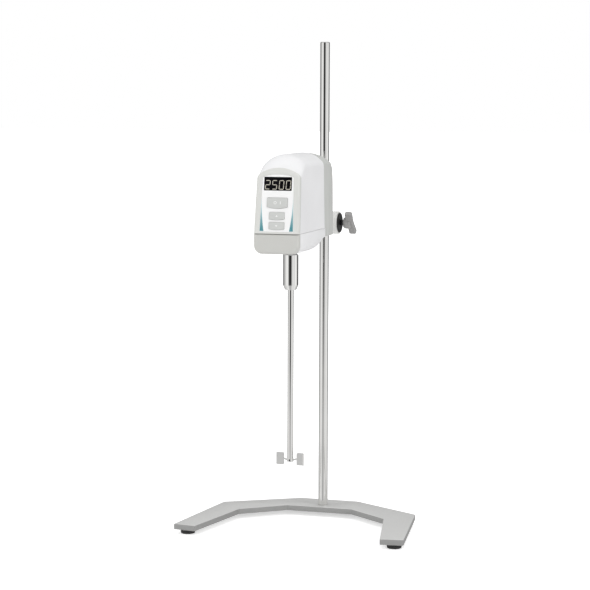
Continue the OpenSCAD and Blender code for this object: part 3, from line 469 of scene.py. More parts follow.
ROUND_AXIS = copies_tree("pieces round an axis", (("Count", "Int"), ("Radius", "Float")), ring_points)
IN_ROW = copies_tree("pieces in a row", (("Count", "Int"), ("Step", "Vector")), row_points)
ON_PLACES = copies_tree("pieces on their places", (("Places", "Object"),), mesh_points)
ALONG_PATH = copies_tree("pieces along a path", (("Path", "Object"), ("Count", "Int")), path_points)


def repeated(thing, tree, material, **values):
    """Runs a tree on a piece, and keeps what it makes as the piece's own mesh."""
    modifier = thing.modifiers.new(tree.name, "NODES")
    modifier.node_group = tree
    values["Material"] = material
    for item in tree.interface.items_tree:
        if item.in_out == "INPUT" and item.name in values:
            modifier[item.identifier] = values[item.name]
    return settle(thing)


def guide(name, points, edges=()):
    """Points in millimetres, for a tree to read."""
    mesh = bpy.data.meshes.new(name)
    mesh.from_pydata([tuple(c * MM for c in point) for point in points], edges, [])
    return placed(name, mesh)


def shifted_mesh(thing, place):
    """Takes an object's mesh to a place whose distances are in millimetres."""
    thing.data.transform(Matrix.Scale(MM, 4) @ place @ Matrix.Scale(1 / MM, 4))
    return thing


def merged(name, *things):
    """One object with the meshes of several, which are removed."""
    made = bmesh.new()
    for thing in things:
        made.from_mesh(thing.data)
    mesh = written(made, bpy.data.meshes.new(name))
    for thing in things:
        bpy.data.objects.remove(thing)
    return placed(name, mesh)


# ---- materials


class Shading(Tree):
    """A shader tree, with the nodes that finishes are made of."""

    def __init__(self, tree, coordinates):
        super().__init__(tree)
        self.place = self.add("ShaderNodeTexCoord").outputs[coordinates]

    def noise(self, scale, detail=3.0, roughness=0.5, vector=None):
        return self.add("ShaderNodeTexNoise", {
            "Scale": scale, "Detail": detail, "Roughness": roughness, "Vector": vector or self.place
        }).outputs["Fac"]

    def stops(self, factor, places):
        """A colour ramp through (position, colour) stops."""
        ramp = self.add("ShaderNodeValToRGB", {"Fac": factor})
        elements = ramp.color_ramp.elements
        while len(elements) < len(places):
            elements.new(0.5)
        for element, (position, colour) in zip(elements, places):
            element.position = position
            element.color = (*colour, 1)
        return ramp.outputs["Color"]

    def ramp(self, factor, low, high, start=0.3, end=0.7):
        """A colour ramp between two colours."""
        return self.stops(factor, ((start, low), (end, high)))

    def span(self, value, start, end, low=0.0, high=1.0, kind="LINEAR"):
        """A number from low to high, as a value goes from start to end."""
        return self.add("ShaderNodeMapRange", {
            "Value": value, "From Min": start, "From Max": end, "To Min": low, "To Max": high
        }, interpolation_type=kind).outputs["Result"]

    def level(self, factor, low, high):
        """A number between low and high by a noise factor."""
        return self.span(factor, 0.3, 0.7, low, high)

    def work_out(self, operation, *values):
        node = self.add("ShaderNodeMath", dict(enumerate(values)), operation=operation)
        return node.outputs["Value"]

    def height(self, vector):
        return self.add("ShaderNodeSeparateXYZ", {"Vector": vector}).outputs["Z"]

    def mix(self, factor, first, second, blend="MIX"):
        """Two colours mixed, where a number stands for a grey."""
        node = self.add("ShaderNodeMix", {"Factor": factor}, data_type="RGBA", blend_type=blend)
        sockets = [socket for socket in node.inputs if socket.type == "RGBA"]
        for socket, colour in zip(sockets, (first, second)):
            grey = isinstance(colour, float)
            self.feed(socket, (colour, colour, colour, 1) if grey else colour)
        return next(socket for socket in node.outputs if socket.type == "RGBA")


class Finish(Shading):
    """A material's shader tree."""

    def __init__(self, name):
        self.material = bpy.data.materials.new(name)
        self.material.use_nodes = True
        super().__init__(self.material.node_tree, "Object")
        self.shader = self.tree.nodes["Principled BSDF"]

    def mapped(self, scale):
        """Object coordinates, scaled."""
        return self.add("ShaderNodeMapping", {"Scale": scale, "Vector": self.place}).outputs["Vector"]

    def varied(self, factor, colour, down, up):
        """A colour made darker and lighter by a noise factor."""
        return self.ramp(factor, shade(colour, down), shade(colour, up))

    def bump(self, height, strength, distance):
        return self.add("ShaderNodeBump", {
            "Strength": strength, "Distance": distance * MM, "Height": height
        }).outputs["Normal"]

    def surface(self, colour, roughness, bump=None, **inputs):
        """The material, once its shader has these inputs, named with _ for a space."""
        inputs = {"Base_Color": colour, "Roughness": roughness, **inputs}
        if bump is not None:
            inputs["Normal"] = bump
        for key, value in inputs.items():
            self.feed(self.shader.inputs[key.replace("_", " ")], value)
        return self.material


def shade(colour, factor):
    return tuple(min(1.0, c * factor) for c in colour)


def plastic(name, colour, roughness=0.45, grain=0.06, vary=0.03, coat=0.0, drawn=(1, 1, 1)):
    """Moulded plastic: a fine grain, slow colour changes and a faint sheen."""
    t = Finish(name)
    return t.surface(
        t.varied(t.noise(9.0, 2.0, vector=t.mapped(drawn)), colour, 1 - vary, 1 + vary),
        t.level(t.noise(40.0), roughness * 0.88, roughness * 1.12),
        t.bump(t.noise(2600.0, 2.0, 0.6), grain, 0.08),
        IOR=1.49, Coat_Weight=coat, Coat_Roughness=0.2
    )


def paint(name, colour, roughness=0.4, edge=1.0):
    """Powder coat: an orange-peel skin with small flecks, and painted shade that darkens upright faces
    by the factor edge.
    """
    t = Finish(name)
    flecks = t.varied(t.noise(900.0, 3.0, 0.7), colour, 0.95, 1.04)
    # painted shade: faces that stand upright, judged by the normal's height, are darkened towards the
    # edge factor, standing in for less light on them
    normal = t.add("ShaderNodeNewGeometry").outputs["Normal"]
    upright_shade = t.ramp(t.work_out("ABSOLUTE", t.height(normal)), (edge,) * 3, (1.0,) * 3, 0.25, 0.85)
    return t.surface(
        t.mix(1.0, flecks, upright_shade, "MULTIPLY"),
        t.level(t.noise(30.0, 2.0), roughness * 0.9, roughness * 1.1),
        t.bump(t.noise(420.0, 2.0, 0.4), 0.12, 0.1),
        IOR=1.5
    )


def metal(name, colour, roughness=0.2, stretch=(1, 1, 1), lines=0.05):
    """Metal with fine lines left by polishing, turning or brushing."""
    t = Finish(name)
    marks = t.noise(900.0, 3.0, 0.6, t.mapped(stretch))
    return t.surface(
        t.varied(t.noise(14.0, 2.0), colour, 0.96, 1.04),
        t.level(marks, roughness * 0.7, roughness * 1.3), t.bump(marks, lines, 0.02), Metallic=1.0
    )


def rubber(name, colour=(0.022, 0.022, 0.022)):
    """Rubber: matt, faintly dusty and a little uneven."""
    t = Finish(name)
    dust = t.noise(60.0, 4.0, 0.7)
    return t.surface(
        t.varied(dust, colour, 0.8, 1.6), t.level(dust, 0.6, 0.85),
        t.bump(t.noise(1400.0, 2.0), 0.15, 0.1)
    )


def board(name, colour=(0.02, 0.16, 0.06)):
    """A circuit board's lacquer over copper tracks."""
    t = Finish(name)
    tracks = t.add("ShaderNodeTexBrick", {
        "Scale": 160.0, "Mortar Size": 0.08, "Vector": t.place, "Color1": (*colour, 1),
        "Color2": (*shade(colour, 0.8), 1), "Mortar": (*shade(colour, 2.0), 1)
    }).outputs
    return t.surface(
        tracks["Color"], t.level(t.noise(50.0), 0.25, 0.4), t.bump(tracks["Fac"], 0.2, 0.05)
    )


def copper_wire(name):
    """Windings: turns of lacquered wire side by side."""
    t = Finish(name)
    turns = t.add("ShaderNodeTexWave", {
        "Scale": 320.0, "Distortion": 0.6, "Vector": t.place
    }, bands_direction="Z").outputs["Fac"]
    return t.surface(
        t.ramp(turns, (0.32, 0.1, 0.03), (0.75, 0.3, 0.12)),
        t.level(t.noise(80.0), 0.25, 0.4), t.bump(turns, 0.5, 0.2), Metallic=0.8
    )


def printed(name, low_colour, high_colour, z_low, z_high):
    """Printed ink that pales from its lower to its upper end."""
    t = Finish(name)
    rise = t.span(t.height(t.place), z_low * MM, z_high * MM)
    dithered = t.work_out("ADD", rise, t.level(t.noise(1800.0), -0.03, 0.03))
    return t.surface(
        t.ramp(dithered, low_colour, high_colour, 0.1, 0.95), t.level(t.noise(60.0), 0.3, 0.4)
    )


def smoked(name, colour=(0.004, 0.004, 0.005)):
    """Smoked acrylic: near black and glossy, with faint handling marks."""
    t = Finish(name)
    return t.surface(
        t.varied(t.noise(20.0), colour, 0.8, 1.5), t.level(t.noise(45.0, 4.0), 0.12, 0.22),
        t.bump(t.noise(30.0, 1.0), 0.02, 0.05), Specular_IOR_Level=0.05
    )


def glow(name, colour, strength):
    """A lit display segment, a little uneven along its length."""
    t = Finish(name)
    uneven = t.noise(300.0)
    return t.surface(
        t.varied(uneven, colour, 0.5, 0.6), 0.4,
        Emission_Color=t.varied(uneven, colour, 0.8, 1.0), Emission_Strength=strength
    )


ALONG_Z = (1, 1, 0.02)
ROUND_Z = (0.05, 0.05, 1)

# the base plate's coat carries painted shade: its upright faces are darkened to 0.52 of its colour
POWDER_COAT_SHADED_UPRIGHTS = paint("light grey powder coat", (0.62, 0.62, 0.61), 0.4, 0.52)
WHITE_PAINT = paint("white powder coat", (0.80, 0.80, 0.78))
WHITE_PLASTIC = plastic("white moulded plastic", (0.85, 0.85, 0.86), 0.46, coat=0.05)
GREY_PLASTIC = plastic("light grey moulded plastic", (0.70, 0.705, 0.68), 0.5)
LOWER_GREY = plastic("lower panel grey plastic", (0.57, 0.57, 0.545), 0.5)
COVER_GREY = plastic("back cover grey plastic", (0.56, 0.57, 0.55), 0.5, vary=0.06, drawn=(30, 30, 0.4))
KEY_GREY = plastic("key grey plastic", (0.60, 0.61, 0.595), 0.5)
KNOB_GREY = plastic("knob grey plastic", (0.35, 0.345, 0.34), 0.34)
NYLON = plastic("natural nylon", (0.74, 0.72, 0.64), 0.5)
BLACK_PLASTIC = plastic("black moulded plastic", (0.018, 0.018, 0.018), 0.4)
DARK_PLASTIC = plastic("dark component plastic", (0.03, 0.03, 0.035), 0.35)
LABEL_WHITE = plastic("white label film", (0.91, 0.91, 0.91), 0.35, 0.02, 0.01)
MARK_WHITE = plastic("white key print", (0.86, 0.86, 0.86), 0.4, 0.02, 0.01)
STAINLESS = metal("polished stainless steel", (0.86, 0.855, 0.84), 0.07, ALONG_Z, 0.03)
CHROME = metal("chrome plate", (0.90, 0.895, 0.88), 0.05, ROUND_Z, 0.02)
PADDLE_STEEL = metal("formed stainless sheet", (0.97, 0.965, 0.95), 0.42, lines=0.03)
TURNED_STEEL = metal("turned steel", (0.55, 0.55, 0.56), 0.28, ROUND_Z)
ZINC = metal("zinc plated steel", (0.62, 0.62, 0.64), 0.32)
BLACK_OXIDE = metal("black oxide steel", (0.06, 0.06, 0.065), 0.35)
ALUMINIUM = metal("machined aluminium", (0.72, 0.73, 0.75), 0.3, ROUND_Z)
DARK_PAINT = paint("dark grey paint", (0.05, 0.05, 0.055))
BLACK_RUBBER = rubber("black rubber")
CIRCUIT_BOARD = board("circuit board")
COPPER = copper_wire("copper windings")
SMOKED = smoked("smoked acrylic")
TEAL = printed("teal ink", (0.075, 0.27, 0.31), (0.45, 0.66, 0.70), Z_PART + 4, Z_PART + 54)
DIGIT_LIGHT = glow("lit digits", (0.60, 0.57, 0.48), 0.42)

# ---- stand


def build_stand():
    rounded_piece("base_plate_finished", "base_plate", POWDER_COAT_SHADED_UPRIGHTS, 0.7, 3, 50)
    foot = turned([
        (0, FOOT_SINK_H), (FOOT_SINK_R, FOOT_SINK_H, 0), (FOOT_SINK_R + 0.4, 0.2, 0.5),
        (FOOT_R - 0.9, 0, 0.9), (FOOT_R - 0.4, 3.2, 1.0), (FOOT_R, FOOT_H - 0.6, 0.5),
        (FOOT_R - 0.3, FOOT_H, 0), (0, FOOT_H)
    ], 3, 64)
    centres = [(low + high) / 2 for low, high in solid_boxes("rubber_feet")]
    feet = join_parts(*(moved(foot, at(centre.x, centre.y)) for centre in centres))
    solid_piece("feet_finished", feet, BLACK_RUBBER, "rubber_feet")
    rod = turned([
        (0, ROD_LOW.z), (ROD_R, ROD_LOW.z, 0.3), (ROD_R, ROD_HIGH.z - 1, 0.6),
        (ROD_R - 1, ROD_HIGH.z, 0.3), (0, ROD_HIGH.z)
    ], 3, 128)
    solid_piece("rod_finished", rod, STAINLESS, "support_rod")


def solid_boxes(node):
    """The lowest and highest corner of each loose solid of a CAD node, in millimetres."""
    made = opened(frame["nodes"][node].data)
    seen, boxes = set(), []
    for first in made.verts:
        if first in seen:
            continue
        group = [first]
        seen.add(first)
        for vert in group:
            joined = {edge.other_vert(vert) for edge in vert.link_edges} - seen
            seen |= joined
            group += joined
        boxes.append([
            Vector([pick(v.co[i] for v in group) for i in range(3)]) / MM for pick in (min, max)
        ])
    made.free()
    return boxes


# ---- head housing


def shell_slice(y, draw):
    """The upper shell's outline at a depth, drawn in by a distance."""
    height = SHELL_HIGH.z - Z_PART
    outline = arch_outline(HALF_W, HALF_W_TOP, height, ARCH_R, SHOULDER_REAR_R, DROP, -draw)
    return [(x, y, Z_PART + v) for x, v in outline]


def head_rings(steps=7, rear_steps=6):
    """Rings of the upper shell's outer surface, from the bezel back to the rear edge."""
    front = [PANEL @ Vector((x, v, -BEZEL_T)) for x, v in BEZEL_OUTLINE]
    ridge = [Vector(point) for point in shell_slice(Y_RIDGE, 0)]
    rings = []
    for k in range(steps + 1):
        share = k / steps
        ring = []
        for a, c in zip(front, ridge):
            b = Vector((c.x, (a.y + c.y) / 2, c.z))
            ring.append(a.lerp(b, share).lerp(b.lerp(c, share), share))
        rings.append(ring)
    rings.append(shell_slice(Y_RIDGE + 30, 0))
    rings.append(shell_slice(Y_REAR - REAR_ROUND - 20, 0))
    for k in range(rear_steps + 1):
        a = math.pi / 2 * k / rear_steps
        draw = REAR_ROUND * (1 - math.cos(a)) * 0.6
        rings.append(shell_slice(Y_REAR - REAR_ROUND * (1 - math.sin(a)), draw))
    return rings


def below_seam(y):
    """A block under the upper shell's seam, to trim the head's pieces with."""
    return mesh_object("trim", slab(box_outline(300, 300, 0, (0, y)), Z_PART - 60, SHELL_LOW.z))


def build_shells():
    shell = mesh_object("upper_housing", loft(head_rings(), closed_ring=False))
    wall = shell.modifiers.new("wall", "SOLIDIFY")
    wall.thickness, wall.offset, wall.use_even_offset = WALL * MM, -1, True
    settle(shell)
    carve(shell, below_seam(Y_SPINDLE))
    finish_piece(shell, WHITE_PLASTIC, "upper_shell", 40)
    rounded_piece("lower_housing", "lower_shell", WHITE_PLASTIC, 0.5, 2, 40, smooth=30)
    rounded_piece("back_cover_finished", "back_cover", COVER_GREY, 1.2, 3, 30, smooth=30)


def panel_prism(name, outline, low, high, rise=0.0):
    """A closed prism on the panel, used to cut openings."""
    return mesh_object(name, slab(outline, low, high), PANEL @ at(0, rise))


WINDOW_OUTLINE = box_outline(WINDOW_W, WINDOW_H, 1, (0, WINDOW_RISE))


def openings():
    """Prisms through the panel, for the window and for each key with its gap."""
    return [panel_prism("opening", WINDOW_OUTLINE, *CUT)] + [
        panel_prism("opening", inset(bow_key(width, height), -KEY_GAP), *CUT, rise)
        for width, height, rise in KEYS.values()
    ]


def build_bezel(label):
    """The bezel, hollow behind, with a recess for the label."""
    bezel = mesh_object("bezel_finished", slab(BEZEL_OUTLINE, -BEZEL_T, 0, 0, BEZEL_ROUND, 6), PANEL)
    hollow = panel_prism("hollow", inset(BEZEL_OUTLINE, WALL), -BEZEL_T - 1, -WALL)
    recess = panel_prism("recess", inset(label, -0.1), RECESS_LOW, CUT[1])
    carve(bezel, hollow, below_seam(Y_FRONT), recess, *openings())
    soften(bezel, 0.15, 2, 50)
    finish_piece(bezel, GREY_PLASTIC, "front_bezel", 40)


def build_front():
    label = [(x, v + LABEL_RISE) for x, v in arch_outline(LABEL_W / 2, LABEL_W_TOP / 2, LABEL_H, 85, 3)]
    build_bezel(label)
    lower_outline = rounded([
        (HALF_W, PANEL_HIGH.z), (-HALF_W, PANEL_HIGH.z),
        (-HALF_W, PANEL_LOW.z, PANEL_CORNER_R), (HALF_W, PANEL_LOW.z, PANEL_CORNER_R)
    ], steps=10)
    lower = slab(lower_outline, -BEZEL_T, 0, 0, PANEL_ROUND, 6)
    place = at(0, Y_FRONT) @ UP_TO_FRONT
    solid_piece("lower_front_finished", lower, LOWER_GREY, "lower_front_panel", place, 40)

    film = mesh_object("label_finished", slab(label, RECESS_LOW, LABEL_TOP, 0, 0.1, 2), PANEL)
    carve(film, *openings())
    finish_piece(film, LABEL_WHITE, "fascia_label", 40)
    build_wedges()

    glass = slab(WINDOW_OUTLINE, WINDOW_LOW, WINDOW_TOP, 0, 0.4, 3)
    solid_piece("window_finished", glass, SMOKED, "display_window", PANEL)
    digits = []
    for place, number in zip(DIGIT_PLACES, "2500"):
        digits += digit(number, place, WINDOW_RISE - 1.7)
    solid_piece("display_digits", join_parts(*digits), DIGIT_LIGHT, "display_module", PANEL, added=True)


def build_wedges():
    """The teal ink along both sides of the label, wide at its foot and drawn to a point."""
    wedges = []
    for side in (-1, 1):
        outer, inner = [], []
        for k in range(WEDGE_STEPS + 1):
            v = LABEL_RISE + 0.8 + WEDGE_H * k / WEDGE_STEPS
            edge = LABEL_W / 2 - (LABEL_W - LABEL_W_TOP) / 2 * (v - LABEL_RISE) / LABEL_H - 0.3
            outer.append((side * edge, v))
            inner.append((side * (edge - 0.15 - WEDGE_W * (1 - k / WEDGE_STEPS) ** 1.7), v))
        strip = outer + list(reversed(inner))
        wedges.append(slab(strip if side > 0 else list(reversed(strip)), *INK))
    solid_piece("teal_wedges", join_parts(*wedges), TEAL, "fascia_label", PANEL, added=True)


SEGMENTS_LIT = {"0": "abcdef", "2": "abged", "5": "afgcd"}


def digit(number, x, v):
    """The lit bars of one seven-segment digit, in the panel's frame."""
    half_w, half_h, tip, lean = 3.5, 6.7, 0.525, 0.06
    bars = {
        "a": (0, half_h, 0), "g": (0, 0, 0), "d": (0, -half_h, 0),
        "b": (half_w, half_h / 2, 1), "c": (half_w, -half_h / 2, 1),
        "f": (-half_w, half_h / 2, 1), "e": (-half_w, -half_h / 2, 1),
    }
    parts = []
    for name in SEGMENTS_LIT[number]:
        bx, bv, up = bars[name]
        end = ((half_h if up else 2 * half_w) - 0.5) / 2
        half = [(-end, 0), (tip - end, -tip), (end - tip, -tip)]
        hexagon = half + [(-px, -py) for px, py in half]
        if up:
            hexagon = [(-py, px) for px, py in hexagon]
        outline = [(x + bx + px + lean * (bv + py), v + bv + py) for px, py in hexagon]
        parts.append(slab(outline, *LIT))
    return parts


# ---- keys


def bow_key(width, height, bow_r=60, steps=16):
    """A key's outline: a straight top, and a foot that bows out."""
    half_w, half_h, sag = width / 2, height / 2, width * width / 8 / bow_r
    foot = [
        (half_w * (2 * k / steps - 1), -half_h + sag * (2 * k / steps - 1) ** 2)
        for k in range(1, steps)
    ]
    rest = rounded([
        foot[-1], (half_w, -half_h + sag, 1.2), (half_w, half_h, 1.6),
        (-half_w, half_h, 1.6), (-half_w, -half_h + sag, 1.2), foot[0]
    ], closed=False, steps=4)
    return foot[:-1] + rest[:-1]


def build_keys():
    for node, (width, height, rise) in KEYS.items():
        place = PANEL @ at(0, rise)
        cap = slab(bow_key(width, height), KEY_FOOT, KEY_FACE, 0, 0.6, 4)
        pad = slab(bow_key(width - 2 * PAD_RIM, height - 2 * PAD_RIM), 0.4, PAD_TOP, 0, 0.3, 3)
        stem = lathe([(0, STEM_LOW), (STEM_R, STEM_LOW), (STEM_R, -3), (0, -3)], 32)
        flange = slab(box_outline(width + 2.4, height + 1.2, 1.6), KEY_FOOT, -2.8)
        solid_piece(node + "_finished", join_parts(cap, pad, flange, stem), KEY_GREY, node, place)
        solid_piece(node + "_mark", join_parts(*key_marks(node)), MARK_WHITE, node, place, added=True)


def key_marks(node):
    """The white marks printed on a key."""
    low, high = MARK
    if node == "power_key":
        ring = turned([(1.6, low), (2.4, low), (2.4, high), (1.6, high)], 1, 48)
        return [moved(ring, at(-3.2, 0.6)), slab(box_outline(1.1, 4.6, 0.3, (5.2, 0.6)), low, high)]
    way = 1 if node == "up_key" else -1
    triangle = [(-1.9 * way, -1.1 * way), (1.9 * way, -1.1 * way), (0, 1.5 * way)]
    return [slab(triangle, low, high)]


# ---- clamp


def build_washer():
    """The pressure washer, with a rolled rim and a shallow step round its bore."""
    radius = (WASHER_HIGH.z - WASHER_LOW.z) / 2
    thick = WASHER_HIGH.x - WASHER_LOW.x
    disc = turned([
        (4.1, 0), (radius, 0, 0.6), (radius, thick, 0.7), (radius - 2.2, thick, 0.3),
        (radius - 2.8, thick - 0.4, 0.3), (7.4, thick - 0.4, 0.3), (7.0, thick, 0.3), (4.1, thick)
    ], 4)
    place = along_clamp(WASHER_LOW.x)
    solid_piece("washer_finished", disc, BLACK_PLASTIC, "screw_washer", place)


def build_knob():
    """The wing knob: a tapered hub, and two rounded wings that lean out of it."""
    half_span, top = KNOB_SPAN / 2, KNOB_HIGH.x - KNOB_LOW.x
    hub = turned([
        (0, 0), (HUB_R - 1.5, 0, 0.8), (HUB_R, 3.5, 2.0), (HUB_R, HUB_H - 2, 1.5),
        (HUB_R - 2.5, HUB_H, 1.2), (0, HUB_H)
    ], 5, 64)
    wing = rounded([
        (-half_span, WING_LOW, 2.6), (0, WING_LOW + 0.3, 60.0), (half_span, WING_LOW, 2.6),
        (half_span, top, 3.0), (0, top - 1.6, 50.0), (-half_span, top, 3.0)
    ], steps=7)
    wings = moved(slab(wing, -WING_T / 2, WING_T / 2, 1.6, 1.6, 5), UP_TO_FRONT)
    knob = mesh_object("knob_finished", hub)
    carve(knob, mesh_object("wings", wings), operation="UNION")
    soften(knob, 0.8, 3, 40)
    shifted_mesh(knob, along_clamp(KNOB_LOW.x, KNOB_TURN))
    finish_piece(knob, KNOB_GREY, "clamp_knob")


def build_clamp_screw():
    low, high = mm_box("clamp_screw")
    collar = turned([(0, 0), (COLLAR_R, 0, 0.4), (COLLAR_R, COLLAR_H, 0.4), (0, COLLAR_H)], 3, 48)
    collar = moved(collar, at(0, 0, KNOB_LOW.x - COLLAR_H - low.x))
    shank = threaded(SCREW_R, 0, high.x - low.x, SCREW_PITCH, 0.5, 48)
    place = along_clamp(low.x)
    solid_piece("clamp_screw_finished", join_parts(shank, collar), BLACK_OXIDE, "clamp_screw", place, 40)


# ---- chuck, shaft and impeller


def build_stirrer():
    low, high = CHUCK_LOW.z, CHUCK_HIGH.z
    radius = CHUCK_HIGH.x
    sleeve = turned([
        (CHUCK_MOUTH_R + 0.1, low + 2.7), (CHUCK_MOUTH_R, low, 0.3), (CHUCK_NOSE_R, low, 1.0),
        (radius, low + CHUCK_NOSE_H, 2.0), (radius, high, 0.8), (CHUCK_BORE_R, high, 0.2),
        (CHUCK_BORE_R, low + 2.7)
    ], 5, 128)
    solid_piece("chuck_finished", sleeve, CHROME, "chuck_sleeve", at(0, Y_SPINDLE))
    rounded_piece("shaft_finished", "stirring_shaft", STAINLESS, 0.4, 2, 50, smooth=40)
    rounded_piece("impeller_finished", "impeller", PADDLE_STEEL, 0.3, 2, 50, smooth=20)


# ---- screws


def threaded(radius, start, end, pitch, depth, segments):
    """A shank with a thread's ridges between two heights."""
    profile = [(0, start), (radius - depth, start)]
    height = start
    while height + pitch < end:
        profile += [(radius - depth, height + 0.1 * pitch), (radius, height + 0.5 * pitch)]
        height += pitch
    profile += [(radius - depth, height), (radius - depth, end), (0, end)]
    return lathe(profile, segments)


def cap_screw(d, length, head_d, head_h, flutes=24):
    """A socket screw: a fluted head below the origin, and a threaded shank above it."""
    radii = (head_d / 2 - 0.12, head_d / 2, head_d / 2, head_d / 2) * flutes
    head = mesh_object("head_of_screw", slab(ring_outline(radii), -head_h, 0, 0.35, 0.1, 2))
    socket = slab(ring_outline((head_d / 4,) * 6), -head_h - 1, -0.4 * head_h)
    carve(head, mesh_object("socket", socket))
    return merged("screw", head, mesh_object("shank", threaded(d / 2, -0.05, length, 0.8, 0.3, 24)))


# node: shank width, head width, head height, finish
SCREWS = {
    "foot_screws": (4, 7.6, 2.4, ZINC),
    "rod_bolt": (8, 14, 2.8, BLACK_OXIDE),
    "clamp_bolts": (5, 8.5, 5, BLACK_OXIDE),
    "housing_screws": (3, 5.6, 2, BLACK_OXIDE),
    "motor_screws": (4, 7, 3, ZINC),
    "housing_flange_screws": (3, 5, 2, ZINC),
}


def build_screws():
    for node, (d, head_d, head_h, finish) in SCREWS.items():
        lying = node == "clamp_bolts"
        axis = 1 if lying else 2
        places = []
        for low, high in solid_boxes(node):
            place = (low + high) / 2
            place[axis] = high[axis] - head_h if lying else low[axis] + head_h
            places.append(place)
        low, high = solid_boxes(node)[0]
        screw = cap_screw(d, (high - low)[axis] - head_h, head_d, head_h)
        if lying:
            shifted_mesh(screw, UP_TO_FRONT)
        marks = guide("places", places)
        repeated(screw, ON_PLACES, finish, Places=marks)
        bpy.data.objects.remove(marks)
        screw.name = node + "_finished"
        finish_piece(screw, finish, node, 40)


# ---- drive inside the head


def bearing_ball():
    """One ball of a bearing, at the origin."""
    made = bmesh.new()
    bmesh.ops.create_icosphere(made, subdivisions=2, radius=BALL_R * MM)
    return placed("ball", written(made, bpy.data.meshes.new("ball")))


def build_bearings():
    node = "spindle_bearings"
    low, high = mm_box(node)
    outer = (high.x - low.x) / 2
    races = join_parts(*(
        turned([(bore, 0), (rim, 0, edge), (rim, RACE_W, edge), (bore, RACE_W)], 3, 64)
        for bore, rim, edge in ((RACE_BORE_R, RACE_STEP_R, 0.3), (outer - 1.9, outer, 0.4))
    ))
    rings, balls = [], []
    for z in (low.z, high.z - RACE_W):
        rings.append(moved(races, at(0, Y_SPINDLE, z)))
        ball = repeated(bearing_ball(), ROUND_AXIS, CHROME, Count=BALLS, Radius=BALL_RING_R * MM)
        balls.append(shifted_mesh(ball, at(0, Y_SPINDLE, z + RACE_W / 2)))
    solid_piece("bearing_races", join_parts(*rings), TURNED_STEEL, node)
    finish_piece(merged("bearing_balls", *balls), CHROME, node, 60, added=True)


def build_stator():
    """The stator's stack of thin layers, with a ring of coils at each end."""
    low, high = mm_box("motor_stator")
    centre = (low + high) / 2
    outer, inner = high.x - 0.1, STATOR_BORE_R
    start, end = low.z + COIL_H, high.z - COIL_H
    profile = [(inner, start)]
    height = start
    while height + LAYER_H < end:
        profile += [
            (outer, height), (outer, height + 1.1),
            (outer - LAYER_DEEP, height + 1.2), (outer - LAYER_DEEP, height + 1.5)
        ]
        height += LAYER_H
    profile += [(outer, height), (outer, end), (inner, end), (inner, start)]
    place = at(centre.x, centre.y)
    solid_piece("stator_stack", lathe(profile, 64), TURNED_STEEL, "motor_stator", place, 30)
    ends = []
    for z in (low.z, end):
        coil = mesh_object("coil", slab(box_outline(5.8, 9.6, 2.2, steps=4), 0, COIL_H, 2.0, 2.0, 4))
        repeated(coil, ROUND_AXIS, COPPER, Count=COILS, Radius=COIL_RING_R * MM)
        ends.append(shifted_mesh(coil, at(centre.x, centre.y, z)))
    finish_piece(merged("stator_coils", *ends), COPPER, "motor_stator", 50, added=True)


def build_pulleys():
    """Pulleys with rounded flanges and a ring of teeth between them."""
    for node, radius, count in (("motor_pulley", 13, 27), ("spindle_pulley", 20, 42)):
        low, high = mm_box(node)
        centre = (low + high) / 2
        wheel = soften(cad_copy(node + "_wheel", node), 0.35, 2, 50)
        teeth = mesh_object("teeth", slab(box_outline(0.5, 1.7, 0.2, steps=2), 2.1, 13.9))
        repeated(teeth, ROUND_AXIS, ALUMINIUM, Count=count, Radius=(radius - 0.05) * MM)
        shifted_mesh(teeth, at(centre.x, centre.y, low.z))
        finish_piece(merged(node + "_finished", wheel, teeth), ALUMINIUM, node)


def belt_loop(low, high, grow):
    """The belt's path round both pulleys, seen along them and grown by a distance."""
    apart = (high.y - low.y) - (BELT_BIG_R + BELT_SMALL_R) - 2 * BELT_T
    y_big = low.y + BELT_BIG_R + BELT_T
    lean = math.asin((BELT_BIG_R - BELT_SMALL_R) / apart)
    path = []
    for radius, y, start, sweep in (
        (BELT_BIG_R, y_big, math.pi - lean, math.pi + 2 * lean),
        (BELT_SMALL_R, y_big + apart, lean, math.pi - 2 * lean),
    ):
        for k in range(BELT_STEPS + 1):
            a = start + sweep * k / BELT_STEPS
            path.append(((radius + grow) * math.cos(a), y + (radius + grow) * math.sin(a)))
    return path


def build_belt():
    """The toothed belt: two straight runs joined round both pulleys, with teeth inside."""
    low, high = mm_box("drive_belt")
    inner, outer = belt_loop(low, high, 0.0), belt_loop(low, high, BELT_T)
    size = len(inner)
    bottom, top = low.z, high.z
    section = ((inner, bottom), (outer, bottom), (outer, top), (inner, top), (inner, bottom))
    rings = [[(x, y, z) for x, y in loop] for loop, z in section]
    band = soften(mesh_object("band", loft(rings)), 0.3, 2, 50)
    track = [(x, y, 0) for x, y in belt_loop(low, high, 0.08)]
    path = guide("belt_path", track, [(k, (k + 1) % size) for k in range(size)])
    tooth = mesh_object("tooth", slab(box_outline(1.5, 0.3, 0.1, steps=2), bottom + 0.4, top - 0.4))
    repeated(tooth, ALONG_PATH, BLACK_RUBBER, Path=path, Count=BELT_TEETH)
    bpy.data.objects.remove(path)
    finish_piece(merged("belt_finished", band, tooth), BLACK_RUBBER, "drive_belt")


def build_boards():
    """A row of small components on the power board."""
    low, high = mm_box("power_board")
    chip = slab(box_outline(3.2, 1.6, 0.2, steps=2), 0, 1.1, 0, 0.2, 2)
    chips = mesh_object("chips", moved(chip, UP_TO_FRONT))
    repeated(chips, IN_ROW, DARK_PLASTIC, Count=CHIPS, Step=(CHIP_STEP * MM, 0, 0))
    shifted_mesh(chips, at(low.x + 4.6, high.y - BOARD_T, high.z - 3))
    finish_piece(chips, DARK_PLASTIC, "power_board", added=True)


